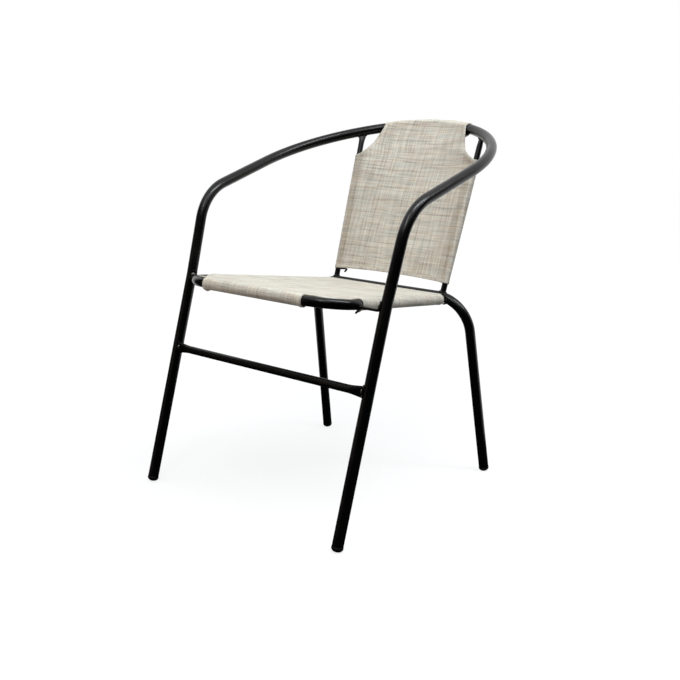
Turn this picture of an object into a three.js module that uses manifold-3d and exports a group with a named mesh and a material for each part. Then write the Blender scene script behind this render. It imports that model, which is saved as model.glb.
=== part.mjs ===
// Sling patio chair.
// One long bent tube makes both front legs, both arms and the hoop behind the back.
// A second bent tube makes the rear legs and the crossbar between them.
// A lighter tube carries the seat cloth, two thin posts carry the back cloth, and a
// stretcher with pressed ends ties the front legs. Lengths are in millimetres, the sitter
// faces -Y, and the origin is on the floor under the middle of the chair.

import * as THREE from 'three';
import { mergeVertices } from 'three/addons/utils/BufferGeometryUtils.js';
import Module from 'manifold-3d';

const wasm = await Module();
wasm.setup();

// Tube stock
const TUBE_DIAMETER = 22;
const TUBE_WALL = 1.2;
const SEAT_TUBE_DIAMETER = 20;
const POST_DIAMETER = 13;
const STRETCHER_DIAMETER = 16;
const LIGHT_WALL = 1;
const FIT_GAP = 0.3;
const CUT_OVERRUN = 16;

// Front legs, arms and hoop
const FRONT_FOOT_HALF_SPAN = 253.6;
const SEAT_FRONT_HEIGHT = 441.8;
const FRONT_LEG_LEAN = THREE.MathUtils.degToRad(14.35);
const LEG_SPREAD_AT_SEAT = 3;
const LEG_SPREAD_ABOVE_SEAT = 7.4;
const LEG_KNEE_RADIUS = 300;
const ARM_CORNER_ABOVE_SEAT = 170.3;
const ARM_BEND_RADIUS = 108;
const ARM_RISE = THREE.MathUtils.degToRad(19.08);
const ARM_TOE_OUT = THREE.MathUtils.degToRad(1.73);
const ARM_LENGTH = 204.9;
const HOOP_CORNER_RADIUS = 305.6;
const HOOP_CORNER_TURN = THREE.MathUtils.degToRad(58.7);

// Seat tube
const SEAT_FRONT_DEPTH = 34;
const SEAT_LEG_GAP = 32.6;
const SEAT_CORNER_RADIUS = 66;
const SEAT_REAR_HALF_SPAN = 155;
const SEAT_REAR_STEP = 4;

// Rear legs and crossbar
const SEAT_LENGTH = 442.1;
const SEAT_DROP = 35;
const CROSSBAR_CORNER_HALF_SPAN = 212.2;
const REAR_BEND_RADIUS = 78;
const REAR_LEG_SPREAD = 21.7;
const REAR_LEG_KICK = 97.1;

// Back posts
const POST_FOOT_HALF_SPAN = 149.1;
const POST_HEAD_HALF_SPAN = 163.6;
const POST_HEAD_WIDTH = 19;
const POST_HEAD_THICKNESS = 7;
const POST_HEAD_LENGTH = 30;

// Front stretcher
const STRETCHER_HEIGHT = 285.7;
const STRETCHER_FORWARD = 5;
const PRESSED_END_HEIGHT = 24;
const PRESSED_END_THICKNESS = 5;
const PRESSED_END_LENGTH = 34;
const DRAIN_HOLE_DIAMETER = 5;
const TAB_THICKNESS = 2.2;
const TAB_START = THREE.MathUtils.degToRad(-68);
const TAB_END = THREE.MathUtils.degToRad(14);

// Brackets from the seat tube to the front legs
const BRACKET_DROP = 9;
const BRACKET_THICKNESS = 5;
const BRACKET_WIDTH = 14;
const BRACKET_FORWARD = 8;
const BRACKET_TAB_HEIGHT = 19;
const BRACKET_TAB_RISE = 4.8;

// Tab screws
const SCREW_TURN = THREE.MathUtils.degToRad(-30);
const SCREW_HEAD_DIAMETER = 8.6;
const SCREW_HEAD_HEIGHT = 2.6;
const SCREW_SHANK_DIAMETER = 3.8;
const SCREW_SHANK_LENGTH = 7;
const BRACKET_SCREW_RISE = 4.5;

// Foot caps
const CAP_FLANGE_DIAMETER = 22.8;
const CAP_FLANGE_THICKNESS = 2.4;
const CAP_DOME_HEIGHT = 8;
const CAP_PLUG_LENGTH = 16;
const CAP_TREAD = 0.6;

// Cloth
const CLOTH = 1.2;
const FRONT_FLAP_SLACK = 1;
const SIDE_SLEEVE_CLEARANCE = 2;
const SIDE_SLEEVE_REAR_GAP = 25;
const SEAT_REAR_EDGE_GAP = 12;
const NOTCH_INSET = 10.4;
const NOTCH_DIP = 4;
const SEAT_SAG = 6;
const SAG_START_SHARE = 0.33;
const SAG_EASE_SHARE = 0.5;
const BACK_FOOT_RISE = 30;
const BACK_SLEEVE_LENGTH = 273;
const BACK_HEM_RISE = 5;
const BACK_FLAP_HALF_SPAN = 113;
const BACK_SLEEVE_SHARE = 0.7;
const NOTCH_HOLLOW_SHARE = 0.3;

// Smoothness of the solids
const OUTER_SIDES = 16;
const BORE_SIDES = 12;
const CHORD_ERROR = 0.3;
const SHEET_COLUMNS = 14;
const SHEET_ROWS = 14;
const DOME_STEPS = 5;
const PRESS_STEPS = 5;

const TUBE_RADIUS = TUBE_DIAMETER / 2;
const SEAT_TUBE_RADIUS = SEAT_TUBE_DIAMETER / 2;
const POST_RADIUS = POST_DIAMETER / 2;

const powderCoat = { color: 0x0d0d0c, roughness: 0.42, metalness: 0.35 };
const wovenCloth = { color: 0xcfcaba, roughness: 0.92, metalness: 0 };
const blackPlastic = { color: 0x0a0a0a, roughness: 0.6, metalness: 0 };
const darkSteel = { color: 0x2a2a29, roughness: 0.35, metalness: 0.8 };

const point = (x, y, z) => new THREE.Vector3(x, y, z);
const mirrored = (place) => point(-place.x, place.y, place.z);

// A run of straights and round bends, sampled closely in the bends only
class BentPath extends THREE.Curve {
  constructor(stations) {
    super();
    this.stations = stations;
    this.steps = stations.length - 1;
  }

  station(share) {
    return this.stations[Math.round(share * this.steps)];
  }

  getPoint(share, target = new THREE.Vector3()) {
    return target.copy(this.station(share).place);
  }

  getPointAt(share, target) {
    return this.getPoint(share, target);
  }

  getTangent(share, target = new THREE.Vector3()) {
    return target.copy(this.station(share).heading);
  }

  getTangentAt(share, target) {
    return this.getTangent(share, target);
  }

  // The place where the path crosses a given height or half span, on the side of +X
  crossing(axis, value) {
    for (let i = 0; i < this.steps; i += 1) {
      const here = this.stations[i].place;
      const next = this.stations[i + 1].place;
      if (next.x > 0 && (here[axis] - value) * (next[axis] - value) <= 0) {
        const share = (value - here[axis]) / (next[axis] - here[axis]);
        return {
          place: here.clone().lerp(next, share),
          heading: next.clone().sub(here).normalize(),
        };
      }
    }
    throw new Error(`the path never reaches ${axis} ${value}`);
  }
}

// The stations of one round bend at a corner between two straights
function bendStations(before, corner, after, radius) {
  const back = before.clone().sub(corner).normalize();
  const ahead = after.clone().sub(corner).normalize();
  const halfAngle = back.angleTo(ahead) / 2;
  const centre = back.clone().add(ahead).normalize();
  centre.multiplyScalar(radius / Math.sin(halfAngle)).add(corner);
  const start = corner.clone().addScaledVector(back, radius / Math.tan(halfAngle));
  const spoke = start.sub(centre);
  const travel = back.clone().negate();
  const turn = Math.PI - 2 * halfAngle;
  const step = 2 * Math.acos(1 - CHORD_ERROR / radius);
  const count = Math.max(2, Math.ceil(turn / step));
  return Array.from({ length: count + 1 }, (_, i) => {
    const angle = (turn * i) / count;
    const place = centre.clone().addScaledVector(spoke, Math.cos(angle));
    place.addScaledVector(travel, radius * Math.sin(angle));
    const heading = travel.clone().multiplyScalar(Math.cos(angle));
    heading.addScaledVector(spoke, -Math.sin(angle) / radius).normalize();
    return { place, heading };
  });
}

function bentPath(first, corners, last) {
  const places = [first, ...corners.map((corner) => corner.place), last];
  const leave = places[1].clone().sub(first).normalize();
  const arrive = last.clone().sub(places[places.length - 2]).normalize();
  const bends = corners.flatMap((corner, i) =>
    bendStations(places[i], corner.place, places[i + 2], corner.radius));
  return new BentPath([
    { place: first, heading: leave },
    ...bends,
    { place: last, heading: arrive },
  ]);
}

function straightPath(first, last) {
  const heading = last.clone().sub(first).normalize();
  return new BentPath([{ place: first, heading }, { place: last, heading }]);
}

function circlePoints(radius, sides) {
  return Array.from({ length: sides }, (_, i) => {
    const angle = (2 * Math.PI * i) / sides;
    return new THREE.Vector2(radius * Math.cos(angle), radius * Math.sin(angle));
  });
}

function roundSection(outer, bore = 0) {
  const section = new THREE.Shape(circlePoints(outer, OUTER_SIDES));
  const round = bore / Math.cos(Math.PI / BORE_SIDES);
  if (bore > 0) section.holes.push(new THREE.Path(circlePoints(round, BORE_SIDES)));
  return section;
}

function sweep(section, path) {
  return new THREE.ExtrudeGeometry(section, { steps: path.steps, extrudePath: path });
}

// The outside of a cloth sleeve round a tube, whose own space is cut out of it afterwards
function sleeve(tubeRadius, path) {
  return sweep(roundSection(tubeRadius + FIT_GAP + CLOTH), path);
}

// A straight tube whose ends are pressed flat. Each press says how far the end reaches,
// how wide it grows along the wide axis, and how thin it gets the other way.
function pressedTube(first, last, wideAxis, diameter, bore, press, bothEnds) {
  const length = first.distanceTo(last);
  const ramp = Array.from({ length: PRESS_STEPS + 1 }, (_, i) =>
    (press.length * (PRESS_STEPS - i)) / PRESS_STEPS);
  const near = bothEnds ? ramp.map((inset) => press.length - inset) : [0];
  const far = ramp.map((inset) => length - inset);
  const heading = point(0, 0, 1);
  const path = new BentPath([...near, ...far].map((z) => ({ place: point(0, 0, z), heading })));
  const tube = sweep(roundSection(diameter / 2, bore / 2), path);
  const places = tube.attributes.position;
  for (let i = 0; i < places.count; i += 1) {
    const z = places.getZ(i);
    const fromEnd = Math.min(length - z, bothEnds ? z : length);
    const amount = THREE.MathUtils.smoothstep(press.length - fromEnd, 0, press.length);
    places.setX(i, places.getX(i) * THREE.MathUtils.lerp(1, press.thin / diameter, amount));
    places.setY(i, places.getY(i) * THREE.MathUtils.lerp(1, press.wide / diameter, amount));
  }
  const along = last.clone().sub(first).normalize();
  const thinAxis = wideAxis.clone().cross(along).normalize();
  const acrossAxis = along.clone().cross(thinAxis);
  tube.applyMatrix4(new THREE.Matrix4().makeBasis(thinAxis, acrossAxis, along));
  return tube.translate(first.x, first.y, first.z);
}

function toSolid(geometry) {
  const bare = geometry.clone();
  bare.deleteAttribute('normal');
  bare.deleteAttribute('uv');
  const merged = mergeVertices(bare);
  return new wasm.Manifold(new wasm.Mesh({
    numProp: 3,
    vertProperties: new Float32Array(merged.attributes.position.array),
    triVerts: new Uint32Array(merged.index.array),
  }));
}

function toGeometry(solid) {
  const mesh = solid.getMesh();
  const geometry = new THREE.BufferGeometry();
  geometry.setAttribute('position', new THREE.BufferAttribute(mesh.vertProperties, 3));
  geometry.setIndex(new THREE.BufferAttribute(mesh.triVerts, 1));
  return geometry;
}

function join(first, ...others) {
  return toGeometry(others.reduce((sum, other) => sum.add(toSolid(other)), toSolid(first)));
}

function cut(body, ...tools) {
  return toGeometry(tools.reduce((rest, tool) => rest.subtract(toSolid(tool)), toSolid(body)));
}

// A mirrored copy of a geometry on the other side of the chair, with its faces still out
function otherSide(geometry) {
  const copy = mergeVertices(geometry.clone().deleteAttribute('normal').deleteAttribute('uv'));
  copy.scale(-1, 1, 1);
  const corners = copy.index.array;
  for (let i = 0; i < corners.length; i += 3) {
    [corners[i], corners[i + 1]] = [corners[i + 1], corners[i]];
  }
  return copy;
}

// A thin sheet: its face is a grid of places, and its back lies one thickness behind
function clothSheet(surface) {
  const places = [];
  const faces = [];
  const across = SHEET_COLUMNS + 1;
  const backStart = across * (SHEET_ROWS + 1);
  for (const depth of [0, CLOTH]) {
    for (let row = 0; row <= SHEET_ROWS; row += 1) {
      for (let column = 0; column <= SHEET_COLUMNS; column += 1) {
        const { place, normal } = surface(
          (2 * column) / SHEET_COLUMNS - 1,
          row / SHEET_ROWS,
        );
        places.push(...place.clone().addScaledVector(normal, -depth).toArray());
      }
    }
  }
  const quad = (a, b, c, d) => faces.push(a, b, c, a, c, d);
  for (let row = 0; row < SHEET_ROWS; row += 1) {
    for (let column = 0; column < SHEET_COLUMNS; column += 1) {
      const a = row * across + column;
      quad(a, a + 1, a + across + 1, a + across);
      const b = backStart + a;
      quad(b, b + across, b + across + 1, b + 1);
    }
  }
  const rim = [];
  for (let column = 0; column < SHEET_COLUMNS; column += 1) rim.push(column);
  for (let row = 0; row < SHEET_ROWS; row += 1) rim.push(row * across + SHEET_COLUMNS);
  for (let column = SHEET_COLUMNS; column > 0; column -= 1) rim.push(SHEET_ROWS * across + column);
  for (let row = SHEET_ROWS; row > 0; row -= 1) rim.push(row * across);
  rim.forEach((corner, i) => {
    const next = rim[(i + 1) % rim.length];
    quad(corner, backStart + corner, backStart + next, next);
  });
  const geometry = new THREE.BufferGeometry();
  geometry.setAttribute('position', new THREE.Float32BufferAttribute(places, 3));
  geometry.setIndex(faces);
  return geometry;
}

// Route of the tube that makes the front legs, the arms and the hoop
function armHoopPath() {
  const legDepth = (height) => height * Math.tan(FRONT_LEG_LEAN);
  const cornerHeight = SEAT_FRONT_HEIGHT + ARM_CORNER_ABOVE_SEAT;
  const foot = point(FRONT_FOOT_HALF_SPAN, 0, 0);
  const knee = point(
    FRONT_FOOT_HALF_SPAN + LEG_SPREAD_AT_SEAT,
    legDepth(SEAT_FRONT_HEIGHT),
    SEAT_FRONT_HEIGHT,
  );
  const armCorner = point(knee.x + LEG_SPREAD_ABOVE_SEAT, legDepth(cornerHeight), cornerHeight);
  const alongHoop = (from, side, length) => from.clone().add(point(
    Math.sin(side) * length,
    Math.cos(side) * Math.cos(ARM_RISE) * length,
    Math.cos(side) * Math.sin(ARM_RISE) * length,
  ));
  const cornerTangent = HOOP_CORNER_RADIUS * Math.tan(HOOP_CORNER_TURN / 2);
  const hoopCorner = alongHoop(armCorner, ARM_TOE_OUT, ARM_LENGTH + cornerTangent);
  const turnIn = ARM_TOE_OUT - HOOP_CORNER_TURN;
  const toMiddle = hoopCorner.x / Math.sin(-turnIn);
  const middle = alongHoop(hoopCorner, turnIn, toMiddle);
  const backRadius = (toMiddle - cornerTangent) / Math.tan(Math.PI / 2 + turnIn);
  const side = [
    { place: hoopCorner, radius: HOOP_CORNER_RADIUS },
    { place: armCorner, radius: ARM_BEND_RADIUS },
    { place: knee, radius: LEG_KNEE_RADIUS },
  ];
  const otherCorners = side.map(({ place, radius }) => ({ place: mirrored(place), radius }));
  return bentPath(
    mirrored(foot),
    [...otherCorners.reverse(), { place: middle, radius: backRadius }, ...side],
    foot,
  );
}

// Route of the tube that makes the rear legs and the crossbar
function rearLegPath() {
  const corner = point(
    CROSSBAR_CORNER_HALF_SPAN,
    SEAT_FRONT_DEPTH + SEAT_LENGTH,
    SEAT_FRONT_HEIGHT - SEAT_DROP,
  );
  const foot = point(corner.x + REAR_LEG_SPREAD, corner.y + REAR_LEG_KICK, 0);
  return bentPath(
    mirrored(foot),
    [
      { place: mirrored(corner), radius: REAR_BEND_RADIUS },
      { place: corner, radius: REAR_BEND_RADIUS },
    ],
    foot,
  );
}

// Route of the seat tube, whose ends butt against the crossbar
function seatTubePath(rearLegs) {
  const legInside = frontLegAt(SEAT_FRONT_HEIGHT).x - TUBE_RADIUS;
  const corner = point(
    legInside - SEAT_LEG_GAP - SEAT_TUBE_RADIUS,
    SEAT_FRONT_DEPTH,
    SEAT_FRONT_HEIGHT,
  );
  const end = rearLegs.crossing('x', SEAT_REAR_HALF_SPAN).place;
  end.z -= SEAT_REAR_STEP;
  return bentPath(
    mirrored(end),
    [
      { place: mirrored(corner), radius: SEAT_CORNER_RADIUS },
      { place: corner, radius: SEAT_CORNER_RADIUS },
    ],
    end,
  );
}

const armHoop = armHoopPath();
const rearLegs = rearLegPath();

// The centre of the right front leg at a height
function frontLegAt(height) {
  return armHoop.crossing('z', height).place;
}

const seatTube = seatTubePath(rearLegs);

// Clear spaces round the tubes, which cut the ends of what is welded or screwed to them
const hoopSpace = sweep(roundSection(TUBE_RADIUS + FIT_GAP), armHoop);
const rearLegSpace = sweep(roundSection(TUBE_RADIUS + FIT_GAP), rearLegs);
const seatTubeSpace = sweep(roundSection(SEAT_TUBE_RADIUS + FIT_GAP), seatTube);

// A curved tab that lies on the inner front quarter of the right front leg
function legTab(height, tabHeight) {
  const inner = TUBE_RADIUS + FIT_GAP;
  const outer = inner + TAB_THICKNESS;
  const outline = new THREE.Shape();
  outline.absarc(0, 0, outer, Math.PI - TAB_START, Math.PI - TAB_END, true);
  outline.absarc(0, 0, inner, Math.PI - TAB_END, Math.PI - TAB_START, false);
  const tab = new THREE.ExtrudeGeometry(outline, {
    depth: tabHeight,
    bevelEnabled: false,
    curveSegments: OUTER_SIDES / 2,
  });
  tab.translate(0, 0, -tabHeight / 2);
  tab.rotateX(-FRONT_LEG_LEAN);
  const centre = frontLegAt(height);
  return tab.translate(centre.x, centre.y, centre.z);
}

// Turns a shape of revolution about Y into its place on a tab, with Y pointing off the leg
function ontoTab(outline, height) {
  const turned = new THREE.LatheGeometry(outline, OUTER_SIDES);
  turned.translate(0, TUBE_RADIUS + FIT_GAP + TAB_THICKNESS, 0);
  turned.rotateZ(Math.PI / 2 - SCREW_TURN);
  turned.rotateX(-FRONT_LEG_LEAN);
  const centre = frontLegAt(height);
  return turned.translate(centre.x, centre.y, centre.z);
}

// A screw with a domed head on the tab and its shank through the wall of the leg
function tabScrew(height) {
  const shank = SCREW_SHANK_DIAMETER / 2;
  const head = SCREW_HEAD_DIAMETER / 2;
  const dome = Array.from({ length: DOME_STEPS }, (_, i) => {
    const angle = (Math.PI / 2) * (i / DOME_STEPS);
    const rise = FIT_GAP + SCREW_HEAD_HEIGHT * Math.sin(angle);
    return new THREE.Vector2(head * Math.cos(angle), rise);
  });
  return ontoTab([
    new THREE.Vector2(0, -SCREW_SHANK_LENGTH),
    new THREE.Vector2(shank, -SCREW_SHANK_LENGTH),
    new THREE.Vector2(shank, FIT_GAP),
    ...dome,
    new THREE.Vector2(0, FIT_GAP + SCREW_HEAD_HEIGHT),
  ], height);
}

// The hole for the screw's shank, and the recess round its head
function screwHole(height) {
  const shank = SCREW_SHANK_DIAMETER / 2 + FIT_GAP;
  const head = SCREW_HEAD_DIAMETER / 2 + FIT_GAP;
  return ontoTab([
    new THREE.Vector2(0, -SCREW_SHANK_LENGTH),
    new THREE.Vector2(shank, -SCREW_SHANK_LENGTH),
    new THREE.Vector2(shank, 0),
    new THREE.Vector2(head, 0),
    new THREE.Vector2(head, CUT_OVERRUN),
    new THREE.Vector2(0, CUT_OVERRUN),
  ], height);
}

const bracketCentre = SEAT_FRONT_HEIGHT - BRACKET_DROP;
const bracketScrewHeight = bracketCentre + BRACKET_SCREW_RISE;
const stretcherHole = screwHole(STRETCHER_HEIGHT);
const bracketHole = screwHole(bracketScrewHeight);

function armHoopTube() {
  const tube = sweep(roundSection(TUBE_RADIUS, TUBE_RADIUS - TUBE_WALL), liftedEnds(armHoop));
  return cut(tube, stretcherHole, bracketHole, otherSide(stretcherHole), otherSide(bracketHole));
}

function rearLegTube() {
  return sweep(roundSection(TUBE_RADIUS, TUBE_RADIUS - TUBE_WALL), liftedEnds(rearLegs));
}

// How far up a leg, along its axis, the tube starts above the floor point of that axis
function capRise(path) {
  const heading = path.stations[0].heading;
  const tilt = Math.acos(heading.z);
  const reach = Math.hypot(
    (CAP_FLANGE_DIAMETER / 2) * Math.sin(tilt),
    CAP_DOME_HEIGHT * Math.cos(tilt),
  );
  return (reach - CAP_TREAD) / heading.z + CAP_FLANGE_THICKNESS;
}

// The same route with both ends cut back to where the foot caps start
function liftedEnds(path) {
  const rise = capRise(path);
  const stations = path.stations.map(({ place, heading }) => ({ place: place.clone(), heading }));
  stations[0].place.addScaledVector(stations[0].heading, rise);
  const last = stations[stations.length - 1];
  last.place.addScaledVector(last.heading, -rise);
  return new BentPath(stations);
}

// A plastic cap: a domed foot with a rim, and a plug inside the tube
function footCap(path) {
  const rim = CAP_FLANGE_DIAMETER / 2;
  const plug = TUBE_RADIUS - TUBE_WALL - FIT_GAP;
  const outline = Array.from({ length: DOME_STEPS + 1 }, (_, i) => {
    const angle = (Math.PI / 2) * (i / DOME_STEPS);
    return new THREE.Vector2(rim * Math.sin(angle), -CAP_DOME_HEIGHT * Math.cos(angle));
  });
  outline.push(new THREE.Vector2(rim, CAP_FLANGE_THICKNESS - FIT_GAP));
  outline.push(new THREE.Vector2(plug, CAP_FLANGE_THICKNESS - FIT_GAP));
  outline.push(new THREE.Vector2(plug, CAP_FLANGE_THICKNESS + CAP_PLUG_LENGTH));
  outline.push(new THREE.Vector2(0, CAP_FLANGE_THICKNESS + CAP_PLUG_LENGTH));
  const cap = new THREE.LatheGeometry(outline, OUTER_SIDES);
  const last = path.stations[path.steps];
  const up = last.heading.clone().negate();
  cap.applyQuaternion(new THREE.Quaternion().setFromUnitVectors(point(0, 1, 0), up));
  const base = last.place.clone().addScaledVector(up, capRise(path) - CAP_FLANGE_THICKNESS);
  cap.translate(base.x, base.y, base.z);
  const reach = 2 * (CAP_FLANGE_DIAMETER + CUT_OVERRUN);
  const floor = new THREE.BoxGeometry(reach, reach, reach);
  floor.translate(last.place.x, last.place.y, -reach / 2);
  return cut(cap, floor);
}

function seatRailTube() {
  const tube = sweep(roundSection(SEAT_TUBE_RADIUS, SEAT_TUBE_RADIUS - LIGHT_WALL), seatTube);
  return cut(tube, rearLegSpace);
}

// The right back post stands on the crossbar, and its pressed head ends under the hoop
const postFoot = rearLegs.crossing('x', POST_FOOT_HALF_SPAN).place;
const postHead = armHoop.crossing('x', POST_HEAD_HALF_SPAN);
const postPath = straightPath(postFoot, postHead.place);
const postPress = { wide: POST_HEAD_WIDTH, thin: POST_HEAD_THICKNESS, length: POST_HEAD_LENGTH };
const postSpace = sweep(roundSection(POST_RADIUS + FIT_GAP), postPath);

function backPost() {
  const tube = pressedTube(
    postFoot,
    postHead.place,
    postHead.heading,
    POST_DIAMETER,
    POST_DIAMETER - 2 * LIGHT_WALL,
    postPress,
    false,
  );
  return cut(tube, hoopSpace, rearLegSpace);
}

// The stretcher is round along its length and pressed flat and tall at both ends, which
// closes its bore, so a drain hole under its middle lets water out
function frontStretcher() {
  const leg = frontLegAt(STRETCHER_HEIGHT);
  const end = point(leg.x, leg.y - STRETCHER_FORWARD, leg.z);
  const press = {
    wide: PRESSED_END_HEIGHT,
    thin: PRESSED_END_THICKNESS,
    length: PRESSED_END_LENGTH + TUBE_RADIUS,
  };
  const bar = pressedTube(mirrored(end), end, point(0, 0, 1), STRETCHER_DIAMETER, 0, press, true);
  const tab = legTab(STRETCHER_HEIGHT, PRESSED_END_HEIGHT);
  const whole = join(bar, tab, otherSide(tab));
  const boreEnd = end.clone().setX(end.x - press.length);
  const bore = sweep(
    roundSection(STRETCHER_DIAMETER / 2 - LIGHT_WALL),
    straightPath(mirrored(boreEnd), boreEnd),
  );
  const drain = sweep(
    roundSection(DRAIN_HOLE_DIAMETER / 2),
    straightPath(point(0, end.y, end.z - STRETCHER_DIAMETER), point(0, end.y, end.z)),
  );
  return cut(whole, hoopSpace, stretcherHole, otherSide(stretcherHole), bore, drain);
}

// A bent steel bracket: a flat leaf from the seat tube to the leg, with a tab up the leg
function seatBracket() {
  const leg = frontLegAt(bracketCentre);
  const inner = seatTube.crossing('y', leg.y - BRACKET_FORWARD).place.x;
  const leaf = new THREE.BoxGeometry(leg.x - inner, BRACKET_WIDTH, BRACKET_THICKNESS);
  leaf.translate((leg.x + inner) / 2, leg.y - BRACKET_FORWARD, bracketCentre);
  const tab = legTab(bracketCentre + BRACKET_TAB_RISE, BRACKET_TAB_HEIGHT);
  return cut(join(leaf, tab), hoopSpace, seatTubeSpace, bracketHole);
}

// The seat cloth: a taut panel, a flap round the front of the seat tube and a sleeve
// along each side, with the front corners of the tube left bare
function seatSling() {
  const corner = seatTube.stations.findIndex(({ place }) => place.x > 0);
  const bend = seatTube.stations.slice(corner, -1);
  const flapHalf = bend[0].place.x - CLOTH;
  const sideStart = frontLegAt(bracketCentre).y - BRACKET_FORWARD + BRACKET_WIDTH / 2
    + SIDE_SLEEVE_CLEARANCE;
  const crossbarFace = SEAT_FRONT_DEPTH + SEAT_LENGTH - TUBE_RADIUS;
  const sideEnd = crossbarFace - SIDE_SLEEVE_REAR_GAP;
  const panelEnd = crossbarFace - SEAT_REAR_EDGE_GAP;
  const slope = -(SEAT_DROP + SEAT_REAR_STEP) / SEAT_LENGTH;
  const lift = SEAT_TUBE_RADIUS + FIT_GAP + CLOTH;
  const tilt = Math.atan(slope);
  const normal = point(0, -Math.sin(tilt), Math.cos(tilt));

  const railAt = (y) => {
    if (y <= SEAT_FRONT_DEPTH) return bend[0].place;
    return seatTube.crossing('y', y).place;
  };
  const panel = clothSheet((across, back) => {
    const y = THREE.MathUtils.lerp(SEAT_FRONT_DEPTH, panelEnd, back);
    const pastFront = (y - SEAT_FRONT_DEPTH) / (sideStart - SEAT_FRONT_DEPTH);
    const open = Math.sin(Math.PI * Math.min(1, pastFront));
    const rail = railAt(y);
    const half = (y <= SEAT_FRONT_DEPTH ? flapHalf : rail.x) - NOTCH_INSET * open;
    const sink = Math.min(1, back / SAG_START_SHARE) * (1 - back * SAG_EASE_SHARE);
    const sag = SEAT_SAG * (1 - across ** 2) * sink;
    const dip = NOTCH_DIP * open ** 2 * Math.abs(across) ** 3;
    const place = point(across * half, y, rail.z);
    place.addScaledVector(normal, lift - sag - dip);
    return { place, normal };
  });

  const flap = new THREE.Shape();
  const hole = new THREE.Path();
  const bore = SEAT_TUBE_RADIUS + FIT_GAP;
  flap.absarc(0, 0, lift, 0, Math.PI, false);
  flap.absarc(0, -FRONT_FLAP_SLACK, lift, Math.PI, 2 * Math.PI, false);
  hole.absarc(0, 0, bore, 0, Math.PI, false);
  hole.absarc(0, -FRONT_FLAP_SLACK, bore, Math.PI, 2 * Math.PI, false);
  flap.holes.push(hole);
  const front = new THREE.ExtrudeGeometry(flap, {
    depth: 2 * flapHalf,
    bevelEnabled: false,
    curveSegments: OUTER_SIDES / 2,
  });
  front.translate(0, 0, -flapHalf);
  front.applyMatrix4(new THREE.Matrix4().makeBasis(point(0, 1, 0), point(0, 0, 1), point(1, 0, 0)));
  front.translate(0, SEAT_FRONT_DEPTH, SEAT_FRONT_HEIGHT);

  const side = sleeve(SEAT_TUBE_RADIUS, straightPath(railAt(sideStart), railAt(sideEnd)));
  return cut(join(panel, front, side, otherSide(side)), seatTubeSpace);
}

// The back cloth: a panel between the posts that curves back to the hoop at its top,
// with a sleeve down each post and a flap round the hoop
function backSling() {
  const foot = postPath.stations[0].place;
  const head = postPath.stations[1].place;
  const run = head.clone().sub(foot);
  const length = run.length();
  const rise = Math.hypot(run.y, run.z);
  const up = point(0, run.y / rise, run.z / rise);
  const front = point(0, -up.z, up.y);
  const lift = POST_RADIUS + FIT_GAP + CLOTH;
  const hoopLift = TUBE_RADIUS + FIT_GAP + CLOTH;
  const onPost = (distance) => foot.clone().addScaledVector(run, distance / length);
  const sleeveEnd = BACK_FOOT_RISE + BACK_SLEEVE_LENGTH;
  const hoopAt = (x) => armHoop.crossing('x', x).place;
  const depthOf = (place) => place.clone().sub(foot).dot(front);
  const heightOf = (place) => place.clone().sub(foot).dot(up);

  // The panel's side edge follows the post, then turns in along the notch to the hoop
  const notchFoot = new THREE.Vector2(onPost(sleeveEnd).x, sleeveEnd);
  const notchHead = new THREE.Vector2(BACK_FLAP_HALF_SPAN, heightOf(hoopAt(BACK_FLAP_HALF_SPAN)));
  const hollow = notchFoot.clone().lerp(notchHead, 0.5);
  hollow.lerp(new THREE.Vector2(notchHead.x, notchFoot.y), NOTCH_HOLLOW_SHARE);
  const notch = new THREE.QuadraticBezierCurve(notchFoot, hollow, notchHead);
  const sideEdge = (high) => {
    if (high > BACK_SLEEVE_SHARE) {
      return notch.getPoint((high - BACK_SLEEVE_SHARE) / (1 - BACK_SLEEVE_SHARE));
    }
    const height = THREE.MathUtils.lerp(BACK_FOOT_RISE, sleeveEnd, high / BACK_SLEEVE_SHARE);
    return new THREE.Vector2(onPost(height).x, height);
  };
  const notchTop = notchHead.y - BACK_FOOT_RISE;
  const slant = Math.atan((-2 * depthOf(hoopAt(0))) / heightOf(hoopAt(0)));

  const panel = clothSheet((across, high) => {
    const edge = sideEdge(high);
    const x = across * edge.x;
    const share = (edge.y - BACK_FOOT_RISE) / notchTop;
    const hoopPlace = hoopAt(Math.abs(x));
    const top = heightOf(hoopPlace) + hoopLift * Math.sin(slant) - BACK_FOOT_RISE;
    const hem = BACK_HEM_RISE * (1 - across ** 2) * (1 - share);
    const bowl = depthOf(hoopPlace) + hoopLift * Math.cos(slant) - lift;
    const slope = Math.atan((-2 * bowl * share) / top);
    const normal = front.clone().multiplyScalar(Math.cos(slope));
    normal.addScaledVector(up, Math.sin(slope));
    const place = point(x, foot.y, foot.z);
    place.addScaledVector(up, BACK_FOOT_RISE + top * share + hem);
    place.addScaledVector(front, lift + bowl * share ** 2);
    return { place, normal };
  });

  const middle = armHoop.stations.filter(({ place }) => Math.abs(place.x) < BACK_FLAP_HALF_SPAN);
  const flapEnd = armHoop.crossing('x', BACK_FLAP_HALF_SPAN);
  const flapStart = {
    place: mirrored(flapEnd.place),
    heading: mirrored(flapEnd.heading).negate(),
  };
  const flapPath = new BentPath([flapStart, ...middle, flapEnd]);
  const flap = sleeve(TUBE_RADIUS, flapPath);
  const side = sleeve(POST_RADIUS, straightPath(onPost(BACK_FOOT_RISE), onPost(sleeveEnd)));
  const whole = join(panel, flap, side, otherSide(side));
  return cut(whole, hoopSpace, postSpace, otherSide(postSpace));
}

function piece(name, geometry, finish) {
  const mesh = new THREE.Mesh(geometry, new THREE.MeshStandardMaterial(finish));
  mesh.name = name;
  return mesh;
}

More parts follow.
